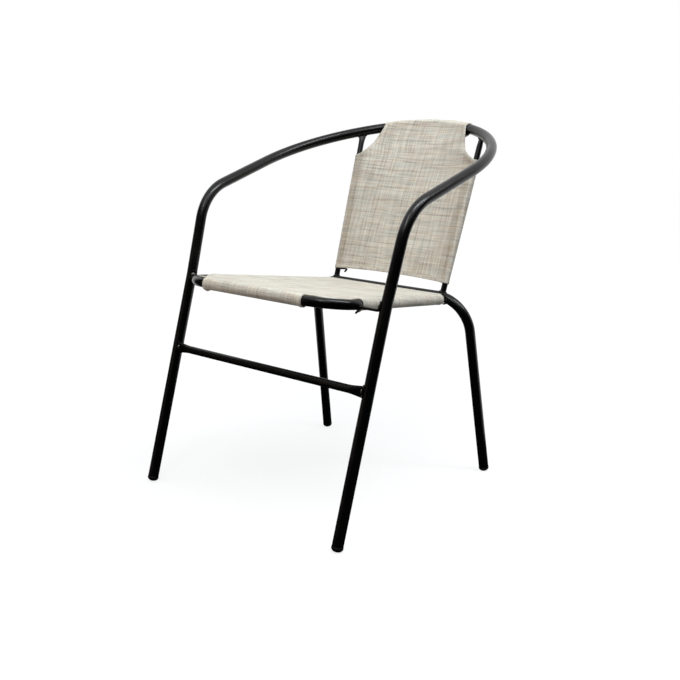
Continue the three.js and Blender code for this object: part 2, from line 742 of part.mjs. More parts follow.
function pair(name, geometry, finish) {
  return [
    piece(`${name}_right`, geometry, finish),
    piece(`${name}_left`, otherSide(geometry), finish),
  ];
}

const frame = new THREE.Group();
frame.add(
  piece('arm_hoop_tube', armHoopTube(), powderCoat),
  piece('rear_leg_tube', rearLegTube(), powderCoat),
  piece('seat_rail_tube', seatRailTube(), powderCoat),
  ...pair('back_post', backPost(), powderCoat),
  piece('front_stretcher', frontStretcher(), powderCoat),
  ...pair('seat_bracket', seatBracket(), powderCoat),
);

const cloth = new THREE.Group();
cloth.add(
  piece('seat_sling', seatSling(), wovenCloth),
  piece('back_sling', backSling(), wovenCloth),
);

const fittings = new THREE.Group();
fittings.add(
  ...pair('stretcher_screw', tabScrew(STRETCHER_HEIGHT), darkSteel),
  ...pair('bracket_screw', tabScrew(bracketScrewHeight), darkSteel),
  ...pair('front_foot_cap', footCap(armHoop), blackPlastic),
  ...pair('rear_foot_cap', footCap(rearLegs), blackPlastic),
);

// The origin goes to the floor under the middle of the chair's own length
const chair = new THREE.Group();
chair.add(frame, cloth, fittings);
const extent = new THREE.Box3().setFromObject(chair);
chair.position.y = -(extent.min.y + extent.max.y) / 2;

export default chair;
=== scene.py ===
"""Visual model of a sling patio chair: bent black steel tube with a woven seat and back.

Shapes are worked out in millimetres with the front feet's axes at y = 0, the sitter facing -Y
and +Z up. Shell.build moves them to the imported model's frame, in metres.
"""

import logging
import math
from collections.abc import Callable
from dataclasses import dataclass, field, replace
from enum import Enum
from functools import partial

import bmesh
import bpy
import numpy as np
from bpy.types import ID, Material, Node, NodeSocket, NodeTree, Object
from mathutils import Matrix, Vector


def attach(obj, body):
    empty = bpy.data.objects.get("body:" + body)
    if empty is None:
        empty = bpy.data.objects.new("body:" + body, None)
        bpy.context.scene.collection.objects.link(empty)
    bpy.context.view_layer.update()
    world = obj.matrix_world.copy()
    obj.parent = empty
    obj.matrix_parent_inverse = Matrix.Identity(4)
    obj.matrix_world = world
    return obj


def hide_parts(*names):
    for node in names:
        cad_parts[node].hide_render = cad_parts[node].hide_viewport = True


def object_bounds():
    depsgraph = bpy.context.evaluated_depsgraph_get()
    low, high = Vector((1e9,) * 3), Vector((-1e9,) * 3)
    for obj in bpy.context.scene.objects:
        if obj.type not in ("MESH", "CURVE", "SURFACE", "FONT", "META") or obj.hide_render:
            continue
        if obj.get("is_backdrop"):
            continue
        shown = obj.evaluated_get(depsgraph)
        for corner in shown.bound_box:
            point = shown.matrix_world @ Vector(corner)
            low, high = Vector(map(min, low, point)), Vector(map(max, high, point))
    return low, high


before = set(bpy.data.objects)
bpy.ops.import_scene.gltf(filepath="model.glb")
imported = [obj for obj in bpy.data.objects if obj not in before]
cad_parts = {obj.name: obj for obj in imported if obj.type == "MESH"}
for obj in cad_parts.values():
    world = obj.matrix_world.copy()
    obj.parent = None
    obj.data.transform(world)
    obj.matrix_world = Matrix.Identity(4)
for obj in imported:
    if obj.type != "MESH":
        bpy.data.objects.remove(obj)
CAD_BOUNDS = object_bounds()

Array = np.ndarray
LOG = logging.getLogger("chair")
MM = 0.001
FOOT_AXIS_DEPTH = -320.56
BODY = "root"
WELD_DISTANCE = 1e-3
CREASE_ANGLE = math.radians(40)
POLE_ANGLE = 0.02
PIPE_SIDES = 48
ARC_POINTS, TAIL_POINTS, FOLD_POINTS = 33, 12, 5
FLAP_HEM_POINTS, MOUTH_HEM_POINTS = 37, 38


class Side(Enum):
    """The two sides of the chair, each with the sign of its x."""

    RIGHT = 1
    LEFT = -1


class Slot(Enum):
    """Material slot names, one carried by each finish."""

    TUBE = "tube_black"
    CLOTH = "sling_cloth"
    SCREW = "screw_steel"
    FOOT = "foot_plastic"


def place(x: float, y: float, z: float) -> Array:
    """A point or a direction."""
    return np.array((x, y, z), float)


def unit(vectors: Array) -> Array:
    """Vectors divided by their lengths."""
    return vectors / np.linalg.norm(vectors, axis=-1, keepdims=True)


def mirrored(points: Array, side: Side = Side.LEFT) -> Array:
    """Points of the right side carried to a side: x times the side's sign."""
    return points * np.array((side.value, 1, 1))


def smooth(share: Array) -> Array:
    """An even ease from 0 to 1: 3 s^2 - 2 s^3 of the share clipped to 0..1."""
    share = np.clip(share, 0, 1)
    return share * share * (3 - 2 * share)


def circle(sides: int) -> Array:
    """Unit circle as (cos a, sin a), with a evenly spaced and no repeated end."""
    angles = np.linspace(0, 2 * math.pi, sides, endpoint=False)
    return np.stack((np.cos(angles), np.sin(angles)), -1)


def rounded_rectangle(width: float, height: float, radius: float, steps: int = 5) -> Array:
    """Outline of a rectangle, anticlockwise, with corners: centre + radius (cos a, sin a).

    Args:
        width: Size along the first axis.
        height: Size along the second axis.
        radius: Radius of the corners.
        steps: Steps in each quarter circle.

    Returns:
        The outline's points, 4 * (steps + 1) by 2.
    """
    centres = np.array(((1, 1), (-1, 1), (-1, -1), (1, -1)))
    centres = centres * (width / 2 - radius, height / 2 - radius)
    turn = np.linspace(0, math.pi / 2, steps + 1)
    angles = turn[None] + np.arange(4)[:, None] * math.pi / 2
    corners = np.stack((np.cos(angles), np.sin(angles)), -1) * radius
    return (centres[:, None] + corners).reshape(-1, 2)


def sweep(line: Array, across: Array, over: Array, profile: Array) -> Array:
    """A profile, fixed or a row for each place, carried along a line: place + p0 a + p1 b."""
    return (line[:, None] + profile[..., :1] * np.atleast_2d(across)[:, None]
            + profile[..., 1:] * np.atleast_2d(over)[:, None])


def run_lengths(lines: Array) -> Array:
    """Distance along lines of points from their starts, for points on the axis before last."""
    steps = np.linalg.norm(np.diff(lines, axis=-2), axis=-1)
    return np.concatenate((np.zeros_like(steps[..., :1]), np.cumsum(steps, -1)), -1)


def at_lengths(spots: Array, lengths: Array, values: Array) -> Array:
    """Vectors at distances along a line, by straight interpolation between its points."""
    return np.stack([np.interp(spots, lengths, values[:, k]) for k in range(3)], -1)


@dataclass(frozen=True)
class Bend:
    """A corner of a tube's route, and the radius of the centre line round it."""

    corner: Array
    radius: float

    def arc(self, before: Array, after: Array, chord: float) -> tuple:
        """Stations of the arc: centre + spoke cos a + travel sin a, from tangent to tangent.

        Args:
            before: The route's corner before this one.
            after: The corner after it.
            chord: Largest distance between two stations.

        Returns:
            Places and headings.
        """
        back = unit(before - self.corner)
        ahead = unit(after - self.corner)
        half = math.acos(float(back @ ahead)) / 2
        centre = self.corner + unit(back + ahead) * self.radius / math.sin(half)
        spoke = self.corner + back * self.radius / math.tan(half) - centre
        turn = math.pi - 2 * half
        count = max(4, math.ceil(turn * self.radius / chord))
        angle = np.linspace(0, turn, count + 1)[:, None]
        places = centre + spoke * np.cos(angle) - back * self.radius * np.sin(angle)
        headings = -back * np.cos(angle) - spoke / self.radius * np.sin(angle)
        return places, unit(headings)


@dataclass(frozen=True)
class Cylinder:
    """A short run of round tube: a place on its axis, the axis's direction and its radius."""

    centre: Array
    axis: Array
    radius: float

    def mirrored(self) -> "Cylinder":
        """The same run on the left side."""
        return Cylinder(mirrored(self.centre), mirrored(self.axis), self.radius)

    def cope(self, ends: Array, heading: Array) -> Array:
        """Slides another tube's end points along a heading until they meet this one.

        The distance t solves |w + t d|^2 = radius^2, where w and d are the point and the
        heading with their parts along the axis taken away. The nearer root is kept, and a
        point that passes beside the tube stops where it is nearest to the axis.

        Args:
            ends: The points.
            heading: The direction towards the tube.

        Returns:
            The points on its surface.
        """
        offset = ends - self.centre
        offset = offset - (offset @ self.axis)[..., None] * self.axis
        travel = heading - (heading @ self.axis) * self.axis
        square = travel @ travel
        half = offset @ travel
        rest = (offset * offset).sum(-1) - self.radius * self.radius
        root = np.sqrt(np.maximum(half * half - square * rest, 0))
        return ends + ((-half - root) / square)[..., None] * heading


@dataclass(frozen=True)
class Route:
    """The centre line of a tube: places on it, the headings there, and where sections start."""

    places: Array
    headings: Array
    lead: Array = field(default_factory=lambda: place(0, 1, 0))

    @classmethod
    def bent(cls, end: Array, bends: list, middle: tuple = (), chord: float = 3.0) -> "Route":
        """A route whose left half mirrors its right half, with a round arc at each corner.

        Args:
            end: Its end on the right.
            bends: The right half's corners, from that end to the middle.
            middle: The corner in the chair's middle, if there is one.
            chord: Largest distance between two stations on an arc.

        Returns:
            The route from the left end to the right end.
        """
        left = [Bend(mirrored(bend.corner), bend.radius) for bend in bends]
        path = [*left, *middle, *bends[::-1]]
        corners = [mirrored(end), *[bend.corner for bend in path], end]
        arcs = [bend.arc(corners[i], corners[i + 2], chord) for i, bend in enumerate(path)]
        first, last = unit(corners[1] - corners[0]), unit(corners[-1] - corners[-2])
        return cls(np.concatenate((corners[:1], *[arc[0] for arc in arcs], corners[-1:])),
                   np.concatenate(([first], *[arc[1] for arc in arcs], [last])))

    @classmethod
    def straight(cls, first: Array, last: Array, stations: Array, lead: Array) -> "Route":
        """A straight route.

        Args:
            first: Its start.
            last: A place that it heads for.
            stations: Distances of its stations from the start.
            lead: The direction that its sections start from.

        Returns:
            The route.
        """
        heading = unit(last - first)
        headings = np.repeat(heading[None], len(stations), 0)
        return cls(first + stations[:, None] * heading, headings, lead)

    def at(self, axis: int, values: Array) -> Array:
        """Places where the right half crosses given heights, depths or half spans.

        Args:
            axis: 0, 1 or 2 for x, y or z.
            values: The coordinates to find on that axis, or one coordinate.

        Returns:
            A place for each value, by straight interpolation between stations.
        """
        after = int(np.argmax(self.places[:, 0] >= 0))
        before = self.places[after - 1]
        share = before[0] / (before[0] - self.places[after, 0])
        middle = before + (self.places[after] - before) * share
        right = np.concatenate((middle[None], self.places[after:]))
        known = right[np.argsort(right[:, axis], kind="stable")]
        return at_lengths(values, known[:, axis], known)

    def cut_back(self, length: float) -> "Route":
        """The route, shorter by a length at both ends."""
        ends = self.headings[[0, -1]] * ((length,), (-length,)) + self.places[[0, -1]]
        return replace(self, places=np.concatenate((ends[:1], self.places[1:-1], ends[1:])))

    def carry(self, profile: Array) -> Array:
        """A profile carried along the route without twist.

        Args:
            profile: Points by 2, or stations by points by 2 where it changes on the way.

        Returns:
            A grid of points, stations by profile points.
        """
        across = np.empty_like(self.headings)
        guess = self.lead
        for i, heading in enumerate(self.headings):
            guess = unit(guess - heading * (guess @ heading))
            across[i] = guess
        return sweep(self.places, across, np.cross(self.headings, across), profile)


def put(name: str, data: ID) -> Object:
    """A new object in the scene, at the origin."""
    thing = bpy.data.objects.new(name, data)
    bpy.context.scene.collection.objects.link(thing)
    return thing


class Shell:
    """Collects grids of points and turns them into one mesh object."""

    def __init__(self) -> None:
        """Starts with nothing in it."""
        self.points: list = []
        self.faces: list = []
        self.sheets: list = []
        self.mapped = False
        self.count = 0

    def add(self, points: Array, sheet: Array) -> Array:
        """Adds vertices.

        Args:
            points: Rows by columns by 3, in millimetres.
            sheet: For each, its place on the flat cloth and how much painted tube shade it has.

        Returns:
            The numbers of the vertices, rows by columns.
        """
        rows, columns = points.shape[:2]
        numbers = self.count + np.arange(rows * columns).reshape(rows, columns)
        self.count += rows * columns
        self.points.append(points.reshape(-1, 3))
        self.sheets.append(sheet.reshape(-1, 3))
        return numbers

    def face(self, *corners: Array) -> None:
        """Adds faces, from arrays of their corners' numbers."""
        faces = np.stack(corners, -1)
        self.faces.extend(faces.reshape(-1, len(corners)).tolist())

    def grid(self, points: Array, ring: bool = False, loop: bool = False,
             cloth: Array = None, tube_shade: Array = 0.0) -> Array:
        """Adds a grid of quads.

        Args:
            points: Rows by columns by 3, in millimetres.
            ring: Whether the last column joins the first.
            loop: Whether the last row joins the first.
            cloth: Rows by columns by 2, places on the flat cloth in millimetres.
            tube_shade: Rows by columns, how much painted shade darkens the cloth where a dark tube
                lies right behind, 0 to 1.

        Returns:
            The numbers of its vertices, rows by columns.
        """
        sheet = np.zeros(points.shape)
        if cloth is not None:
            self.mapped = True
            sheet[..., :2] = cloth
            sheet[..., 2] = tube_shade
        numbers = self.add(points, sheet)
        wide = np.concatenate((numbers, numbers[:, :1]), 1) if ring else numbers
        wide = np.concatenate((wide, wide[:1]), 0) if loop else wide
        self.face(wide[:-1, :-1], wide[:-1, 1:], wide[1:, 1:], wide[1:, :-1])
        return numbers

    def solid(self, points: Array, cloth: Array = None) -> None:
        """Adds a grid that is a ring along its columns, closed by a fan at both ends.

        Args:
            points: Rows by columns by 3, in millimetres.
            cloth: Rows by columns by 2, places on the flat cloth in millimetres.
        """
        numbers = self.grid(points, ring=True, cloth=cloth)
        for end in (0, -1):
            middle = self.add(points[end].mean(0)[None, None], np.zeros(3))
            edge = numbers[end]
            self.face(edge, np.roll(edge, -1), np.full_like(edge, middle[0, 0]))

    def tube(self, outer: Array, inner: Array) -> None:
        """Adds a pipe: its outer and inner wall, joined at both ends.

        Args:
            outer: Stations by points by 3.
            inner: The same.
        """
        outside = self.grid(outer, ring=True)
        inside = self.grid(inner, ring=True)
        for end in (0, -1):
            first, second = outside[end], inside[end]
            self.face(first, np.roll(first, -1), np.roll(second, -1), second)

    def build(self, name: str, finish: "Finish", node: str = "") -> Object:
        """Makes the mesh object, welded where grids meet and with its faces outwards.

        Args:
            name: The piece's name.
            finish: The finish that gives its material.
            node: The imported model's node that it stands for, if any.

        Returns:
            The object, at the origin, riding on the chair's body.
        """
        points = (np.concatenate(self.points) + (0, FOOT_AXIS_DEPTH, 0)) * MM
        mesh = bpy.data.meshes.new(name)
        mesh.from_pydata(points.tolist(), [], self.faces)
        if self.mapped:
            sheet = np.concatenate(self.sheets).astype(np.float32)
            corners = np.empty(len(mesh.loops), np.int32)
            mesh.loops.foreach_get("vertex_index", corners)
            flat = mesh.uv_layers.new(name="cloth")
            flat.data.foreach_set("uv", sheet[corners, :2].ravel())
            # Painted shade: a share on each point that darkens the cloth's colour where a tube
            # lies behind.
            behind = mesh.attributes.new("tube_shade", "FLOAT", "POINT")
            behind.data.foreach_set("value", sheet[:, 2].copy())
        welded = bmesh.new()
        welded.from_mesh(mesh)
        bmesh.ops.remove_doubles(welded, verts=welded.verts, dist=WELD_DISTANCE * MM)
        bmesh.ops.recalc_face_normals(welded, faces=welded.faces)
        welded.to_mesh(mesh)
        welded.free()
        mesh.shade_smooth()
        mesh.set_sharp_from_angle(angle=CREASE_ANGLE)
        mesh.materials.append(finish.material())
        piece = put(name, mesh)
        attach(piece, BODY)
        if node:
            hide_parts(node)
        return piece


def linear(hex_colour: str) -> tuple:
    """An sRGB hex colour as linear RGBA.

    A share c becomes c / 12.92 up to 0.04045, and ((c + 0.055) / 1.055) ^ 2.4 above it.

    Args:
        hex_colour: The colour, as #rrggbb.

    Returns:
        Red, green, blue and an alpha of 1.
    """
    shares = np.array([int(hex_colour[i:i + 2], 16) / 255 for i in (1, 3, 5)])
    low = shares / 12.92
    high = ((shares + 0.055) / 1.055) ** 2.4
    return (*np.where(shares <= 0.04045, low, high), 1.0)


def plug(node: Node, inputs: dict | tuple) -> None:
    """Fills a node's inputs.

    Args:
        node: The node.
        inputs: By name or in order: a value, a socket, or a node whose first output is meant.
    """
    for key, value in inputs.items() if isinstance(inputs, dict) else enumerate(inputs):
        if isinstance(value, Node):
            value = value.outputs[0]
        if isinstance(value, NodeSocket):
            node.id_data.links.new(value, node.inputs[key])
        else:
            node.inputs[key].default_value = value


def add_node(tree: NodeTree, kind: str, inputs: dict | tuple = (), **settings: object) -> Node:
    """Adds a shader node.

    Args:
        tree: The material's or world's node tree.
        kind: Its type, without the ShaderNode prefix, and after a dot its operation, if any.
        inputs: What its inputs are filled with.
        settings: Values for its properties.

    Returns:
        The node.
    """
    kind, _, operation = kind.partition(".")
    if operation:
        settings["operation"] = operation
    node = tree.nodes.new("ShaderNode" + kind)
    for key, value in settings.items():
        setattr(node, key, value)
    plug(node, inputs)
    return node


def new_material(name: str) -> tuple:
    """A new material's data block, a function that adds a node to it, and its shader."""
    material = bpy.data.materials.new(name)
    material.use_nodes = True
    tree = material.node_tree
    return material, partial(add_node, tree), tree.nodes["Principled BSDF"]


def grain_bump(add: Callable, shader: Node, size: float, height: float,
               detail: float = 2.0) -> Node:
    """Bumps a surface with noise grains.

    Args:
        add: Adds a node to its tree.
        shader: The shader whose normal is bumped.
        size: Distance between grains, in millimetres.
        height: How high the grains stand, in millimetres.
        detail: Octaves of finer grain.

    Returns:
        The noise, for other uses.
    """
    where = add("TexCoord").outputs["Object"]
    noise = add("TexNoise", {"Vector": where, "Scale": 1 / (size * MM), "Detail": detail})
    plug(shader, {"Normal": add("Bump", {"Height": noise, "Strength": 1.0,
                                         "Distance": height * MM})})
    return noise


class Finish:
    """A surface finish: makes its material once and hands it out."""

    made: dict = {}
    slot: Slot

    def material(self) -> Material:
        """The finish's material, made on first use.

        Returns:
            The material.
        """
        name = type(self).__name__
        if name not in Finish.made:
            Finish.made[name], add, shader = new_material(name)
            self.dress(add, shader)
        return Finish.made[name]

    def dress(self, add: Callable, shader: Node) -> None:
        """Adds the finish's nodes to its tree, and sets its shader's sockets."""
        raise NotImplementedError


@dataclass(frozen=True)
class PowderCoat(Finish):
    """Black polyester powder coat baked on steel tube.

    The powder melts and flows, so it gives a deep black with a soft gloss, a faint orange
    peel, and slightly duller patches where hands and stacking have rubbed it.
    """

    slot: Slot = Slot.TUBE
    colour: str = "#030303"
    peel_size: float = 2.6
    peel_height: float = 0.012
    rub_size: float = 38.0
    rub_range: tuple = (0.3, 0.7)
    gloss_range: tuple = (0.20, 0.32)
    specular: float = 0.32

    def dress(self, add: Callable, shader: Node) -> None:
        """Peel in the normal, and rubbed patches in the roughness.

        Args:
            add: Adds a node to its tree.
            shader: Its shader.
        """
        grain_bump(add, shader, self.peel_size, self.peel_height, 1.0)
        where = add("TexCoord").outputs["Object"]
        rub = add("TexNoise", {"Vector": where, "Scale": 1 / (self.rub_size * MM), "Detail": 3.0})
        rough = add("MapRange", (rub, *self.rub_range, *self.gloss_range))
        plug(shader, {"Base Color": linear(self.colour), "Roughness": rough,
                      "Specular IOR Level": self.specular})


@dataclass(frozen=True)
class ZincPlatedSteel(Finish):
    """Dark zinc plate on cold-headed steel screws.

    The thin plate over turned marks gives a grey metal gleam that is uneven in gloss.
    """

    slot: Slot = Slot.SCREW
    colour: str = "#75746f"
    grain_size: float = 0.5
    grain_height: float = 0.02
    roughness: float = 0.42
    metal: float = 0.85

    def dress(self, add: Callable, shader: Node) -> None:
        """Fine grains in the normal under a plain metal.

        Args:
            add: Adds a node to its tree.
            shader: Its shader.
        """
        grain_bump(add, shader, self.grain_size, self.grain_height)
        plug(shader, {"Base Color": linear(self.colour), "Metallic": self.metal,
                      "Roughness": self.roughness})


@dataclass(frozen=True)
class MouldedPolyethylene(Finish):
    """Black polyethylene, injection moulded in a spark-eroded tool.

    The tool leaves a fine even grain, so the caps are a flat black that hardly shines, and
    the tread at the bottom is scuffed grey.
    """

    slot: Slot = Slot.FOOT
    colour: str = "#0c0c0c"
    scuff_colour: str = "#2b2a28"
    scuff_height: float = 1.4
    grain_size: float = 0.45
    grain_height: float = 0.03
    roughness: float = 0.55
    specular: float = 0.25

    def dress(self, add: Callable, shader: Node) -> None:
        """Tool grain in the normal, and the scuff mixed in by height above the floor.

        Args:
            add: Adds a node to its tree.
            shader: Its shader.
        """
        grain = grain_bump(add, shader, self.grain_size, self.grain_height)
        where = add("TexCoord").outputs["Object"]
        height = add("SeparateXYZ", (where,)).outputs["Z"]
        ragged = add("Math.MULTIPLY_ADD", (grain, -self.scuff_height * MM, height))
        low = add("Math.LESS_THAN", (ragged, 0.0))
        mixed = add("MixRGB", (low, linear(self.colour), linear(self.scuff_colour)))
        plug(shader, {"Base Color": mixed, "Roughness": self.roughness,
                      "Specular IOR Level": self.specular})


@dataclass(frozen=True)
class SewingThread(Finish):
    """Bonded polyester sewing thread.

    Its twist and bonding give a pale thread with a dull sheen, a little lighter than the
    cloth that it holds down.
    """

    slot: Slot = Slot.CLOTH
    colour: str = "#d9d4c6"
    twist_size: float = 0.5
    twist_height: float = 0.06
    roughness: float = 0.7
    specular: float = 0.3

    def dress(self, add: Callable, shader: Node) -> None:
        """Short ridges for the twist.

        Args:
            add: Adds a node to its tree.
            shader: Its shader.
        """
        grain_bump(add, shader, self.twist_size, self.twist_height, 0.0)
        plug(shader, {"Base Color": linear(self.colour), "Roughness": self.roughness,
                      "Specular IOR Level": self.specular})


@dataclass(frozen=True)
class Yarns:
    """The yarns that run one way: their noise's shift and their dyes, by noise value."""

    seed: float
    dyes: tuple


@dataclass(frozen=True)
class WovenSling(Finish):
    """Sling cloth: polyester yarns coated in vinyl and woven plain, in mixed colours.

    Each yarn is dyed in slubs, so thin streaks of cream, beige, brown, grey, blue and pink
    run along and across, the weave gives a fine grid, and the coating a slight gloss. The
    yarns are drawn half as wide again as their real 1.2 mm so that they show.
    """

    slot: Slot = Slot.CLOTH
    yarn_pitch: float = 1.8
    yarn_step: float = 7.31
    slub_length: float = 60.0
    own_share: float = 0.58
    strand: int = 2
    weft: Yarns = Yarns(3.7, (
        (0.36, "#9a9085"), (0.42, "#b0a79a"), (0.46, "#bfb8aa"), (0.50, "#c9c3b5"),
        (0.53, "#cec8bb"), (0.57, "#d6d1c3"), (0.63, "#e1ddce")))
    warp: Yarns = Yarns(41.3, (
        (0.36, "#9f968a"), (0.42, "#b4ab9e"), (0.46, "#c1b9ac"), (0.50, "#c8c2b5"),
        (0.54, "#cdc7bb"), (0.58, "#d4cfc1"), (0.64, "#dedacb")))
    tints: tuple = ((0.36, "#f6f8fa"), (0.46, "#fcfcfd"), (0.52, "#fffdfc"),
                    (0.58, "#fff9f6"), (0.64, "#fbf7f2"))
    tint_size: tuple = (52.0, 15.0)
    # Painted shade: multiplied into the cloth's colour where a dark tube lies behind it.
    tube_shade_tint: str = "#eae5e1"
    weave_height: float = 0.25
    weave_share: float = 0.3
    weave_bump: float = 0.6
    gap_shade: float = 0.22
    mean_crest: float = 0.62
    roughness: float = 0.62
    specular: float = 0.25

    def dyed(self, add: Callable, value: Node, dyes: tuple) -> Node:
        """The dye at a noise value.

        Args:
            add: Adds a node to its tree.
            value: The value.
            dyes: Position and colour of each dye, blended between.

        Returns:
            The node that gives the colour.
        """
        node = add("ValToRGB", (value,))
        ramp = node.color_ramp
        while len(ramp.elements) < len(dyes):
            ramp.elements.new(1.0)
        for element, (position, colour) in zip(ramp.elements, dyes):
            element.position = position
            element.color = linear(colour)
        return node

    def yarn_colour(self, add: Callable, along: NodeSocket, across: NodeSocket,
                    yarns: Yarns) -> Node:
        """Colour of the yarns that run one way.

        Noise is read at (distance along / slub length, yarn number), so it drifts slowly along
        a yarn and jumps from one yarn to the next. Some of it is shared by a strand of
        neighbouring yarns and drifts more slowly.

        Args:
            add: Adds a node to its tree.
            along: The distance along the yarn, in millimetres.
            across: The distance across the yarns, in millimetres.
            yarns: What the yarns are like.

        Returns:
            The node that gives the colour.
        """
        total = 0.0
        for wide, weight in ((1, self.own_share), (self.strand, 1 - self.own_share)):
            turn = add("Math.DIVIDE", (across, wide * self.yarn_pitch))
            number = add("Math.FLOOR", (turn,))
            spot = add("CombineXYZ", (
                add("Math.DIVIDE", (along, wide * self.slub_length)),
                add("Math.MULTIPLY", (number, self.yarn_step)), yarns.seed * wide))
            noise = add("TexNoise", {"Vector": spot, "Scale": 1.0, "Detail": 1.0,
                                     "Roughness": 0.5})
            total = add("Math.MULTIPLY_ADD", (noise, weight, total))
        return self.dyed(add, total, yarns.dyes)

    def dress(self, add: Callable, shader: Node) -> None:
        """Mixes both sets of yarns in a plain weave, with its ridges as bump.

        A ridge is sin(pi t), with t the share of a yarn's width. The upper set of yarns
        changes from one crossing to the next. The gaps between yarns get a painted shade. The
        cloth over black tubes gets a painted shade too, which stands partly for the tube showing
        through the open weave and partly for shade there. Faint patches of blue, pink and yellow
        dye lie on it, longer across the cloth than along it.

        Args:
            add: Adds a node to its tree.
            shader: Its shader.
        """
        cloth = add("UVMap", uv_map="cloth")
        u, v, _ = add("SeparateXYZ", (cloth,)).outputs
        turns, ridges = [], []
        for distance in (u, v):
            turn = add("Math.DIVIDE", (distance, self.yarn_pitch))
            turns.append(add("Math.FLOOR", (turn,)))
            part = add("Math.FRACT", (turn,))
            angle = add("Math.MULTIPLY", (part, math.pi))
            ridges.append(add("Math.SINE", (angle,)))
        crossing = add("Math.ADD", turns)
        over = add("Math.FLOORED_MODULO", (crossing, 2.0))
        share = add("Math.MULTIPLY_ADD", (over, self.weave_share, 0.5 - self.weave_share / 2))
        colour = add("MixRGB", (share, self.yarn_colour(add, u, v, self.weft),
                                self.yarn_colour(add, v, u, self.warp)))
        spot = add("VectorMath.DIVIDE", (cloth, (*self.tint_size, 1.0)))
        patch = add("TexNoise", {"Vector": spot, "Scale": 1.0, "Detail": 3.0, "Roughness": 0.6})
        # Painted shade: the tube shade tint is multiplied in by each point's stored share.
        behind = add("Attribute", attribute_name="tube_shade").outputs["Fac"]
        for amount, tint in ((1.0, self.dyed(add, patch, self.tints)),
                             (behind, linear(self.tube_shade_tint))):
            colour = add("MixRGB", (amount, colour, tint), blend_type="MULTIPLY")
        crest = add("Math.SQRT", (add("Math.MULTIPLY", ridges),))
        shade = add("Math.MULTIPLY_ADD", (crest, self.gap_shade,
                                          1 - self.gap_shade * self.mean_crest))
        shaded = add("VectorMath.SCALE", {0: colour, "Scale": shade})
        height = add("MixRGB", (over, ridges[1], ridges[0]))
        bump = add("Bump", {"Height": add("RGBToBW", (height,)),
                            "Strength": self.weave_bump,
                            "Distance": self.weave_height * MM})
        plug(shader, {"Base Color": shaded, "Normal": bump, "Roughness": self.roughness,
                      "Specular IOR Level": self.specular})


POWDER = PowderCoat()
PLATED = ZincPlatedSteel()
MOULDED = MouldedPolyethylene()
THREAD = SewingThread()
SLING = WovenSling()


def pair(name: str, node: str, solids: list, finish: Finish) -> list:
    """A piece on each side, in place of the node of that side.

    Args:
        name: What the pieces' names start with.
        node: What the nodes' names start with.
        solids: Grids of the right piece's solids.
        finish: The pieces' finish.

    Returns:
        The right and the left piece.
    """
    pieces = []
    for side in Side:
        shell = Shell()
        for points in solids:
            shell.solid(mirrored(points, side))
        word = side.name.lower()
        pieces.append(shell.build(f"{name}_{word}", finish, f"{node}_{word}"))
    return pieces


@dataclass(frozen=True)
class Stock:
    """Round steel tube, by its outside diameter and wall in millimetres."""

    diameter: float
    wall: float

    @property
    def radius(self) -> float:
        """Outside radius."""
        return self.diameter / 2

    @property
    def bore(self) -> float:
        """Inside radius."""
        return self.radius - self.wall


def pipe(name: str, node: str, route: Route, stock: Stock, ends: tuple = ()) -> Object:
    """A bent pipe with both walls, each a circle carried along a route: r (cos a, sin a).

    Args:
        name: The piece's name.
        node: The node that it stands for.
        route: Its centre line.
        stock: The tube it is bent from.
        ends: The tubes that its first and its last end are shaped to, if any.

    Returns:
        The piece.
    """
    walls = [route.carry(circle(PIPE_SIDES) * r) for r in (stock.radius, stock.bore)]
    for wall in walls:
        for end, way, other in zip((0, -1), (-1, 1), ends):
            wall[end] = other.cope(wall[end], way * route.headings[end])
    shell = Shell()
    shell.tube(*walls)
    return shell.build(name, POWDER, node)


@dataclass(frozen=True)
class FootCap:
    """A domed plastic cap with a rim, a flat tread and a plug inside the leg, in mm."""

    rim_diameter: float = 22.8
    rim_height: float = 2.4
    dome_height: float = 8.0
    plug_length: float = 16.0
    plug_taper: tuple = (0.9, 0.8)
    tread: float = 0.6
    gap: float = 0.3
    lip_round: float = 0.5
    steps: int = 24
    lip_stride: int = 4
    sides: int = 64

    def rise(self, heading: Array) -> float:
        """How far up a leg's axis the tube starts: the tilted dome's reach less the tread.

        Args:
            heading: The leg's direction.

        Returns:
            The distance from the floor along the axis.
        """
        tilt = math.acos(abs(heading[2]))
        reach = math.hypot(self.rim_diameter / 2 * math.sin(tilt),
                           self.dome_height * math.cos(tilt))
        return (reach - self.tread) / abs(heading[2]) + self.rim_height

    def build(self, end: str, foot: Array, up: Array, bore: float) -> list:
        """Turns the cap's outline round the leg's axis and flattens it at the floor.

        The outline is a quarter ellipse (rim sin t, -dome cos t), a rim, and the plug. A point
        is foot + along * up + r (cos a, sin a), with its height held at 0 or more.

        Args:
            end: The chair's end that the caps are at.
            foot: Where the right leg's axis meets the floor.
            up: The leg's direction, upwards.
            bore: Radius of the leg's bore.

        Returns:
            The right and the left cap.
        """
        rim = self.rim_diameter / 2
        plug = bore - self.gap
        top = self.rim_height - self.gap
        turn = np.linspace(POLE_ANGLE, math.pi / 2, self.steps)
        dome = np.stack((rim * np.sin(turn), -self.dome_height * np.cos(turn)), -1)
        lip = turn[::self.lip_stride]
        edge = np.stack((rim - self.lip_round * (1 - np.cos(lip)),
                         top - self.lip_round * (1 - np.sin(lip))), -1)
        start, width = self.plug_taper
        stem = np.array(((plug, top), (plug, top + start * self.plug_length),
                         (width * plug, top + self.plug_length)))
        outline = np.concatenate((dome, edge, stem))
        base = foot + up * (self.rise(up) - self.rim_height)
        across = unit(np.cross(up, place(0, 1, 0)))
        points = sweep(base + outline[:, 1:] * up, across, np.cross(across, up),
                       outline[:, :1, None] * circle(self.sides))
        points[..., 2] = np.maximum(points[..., 2], 0)
        return pair(f"cap_{end}", f"{end}_foot_cap", [points], MOULDED)


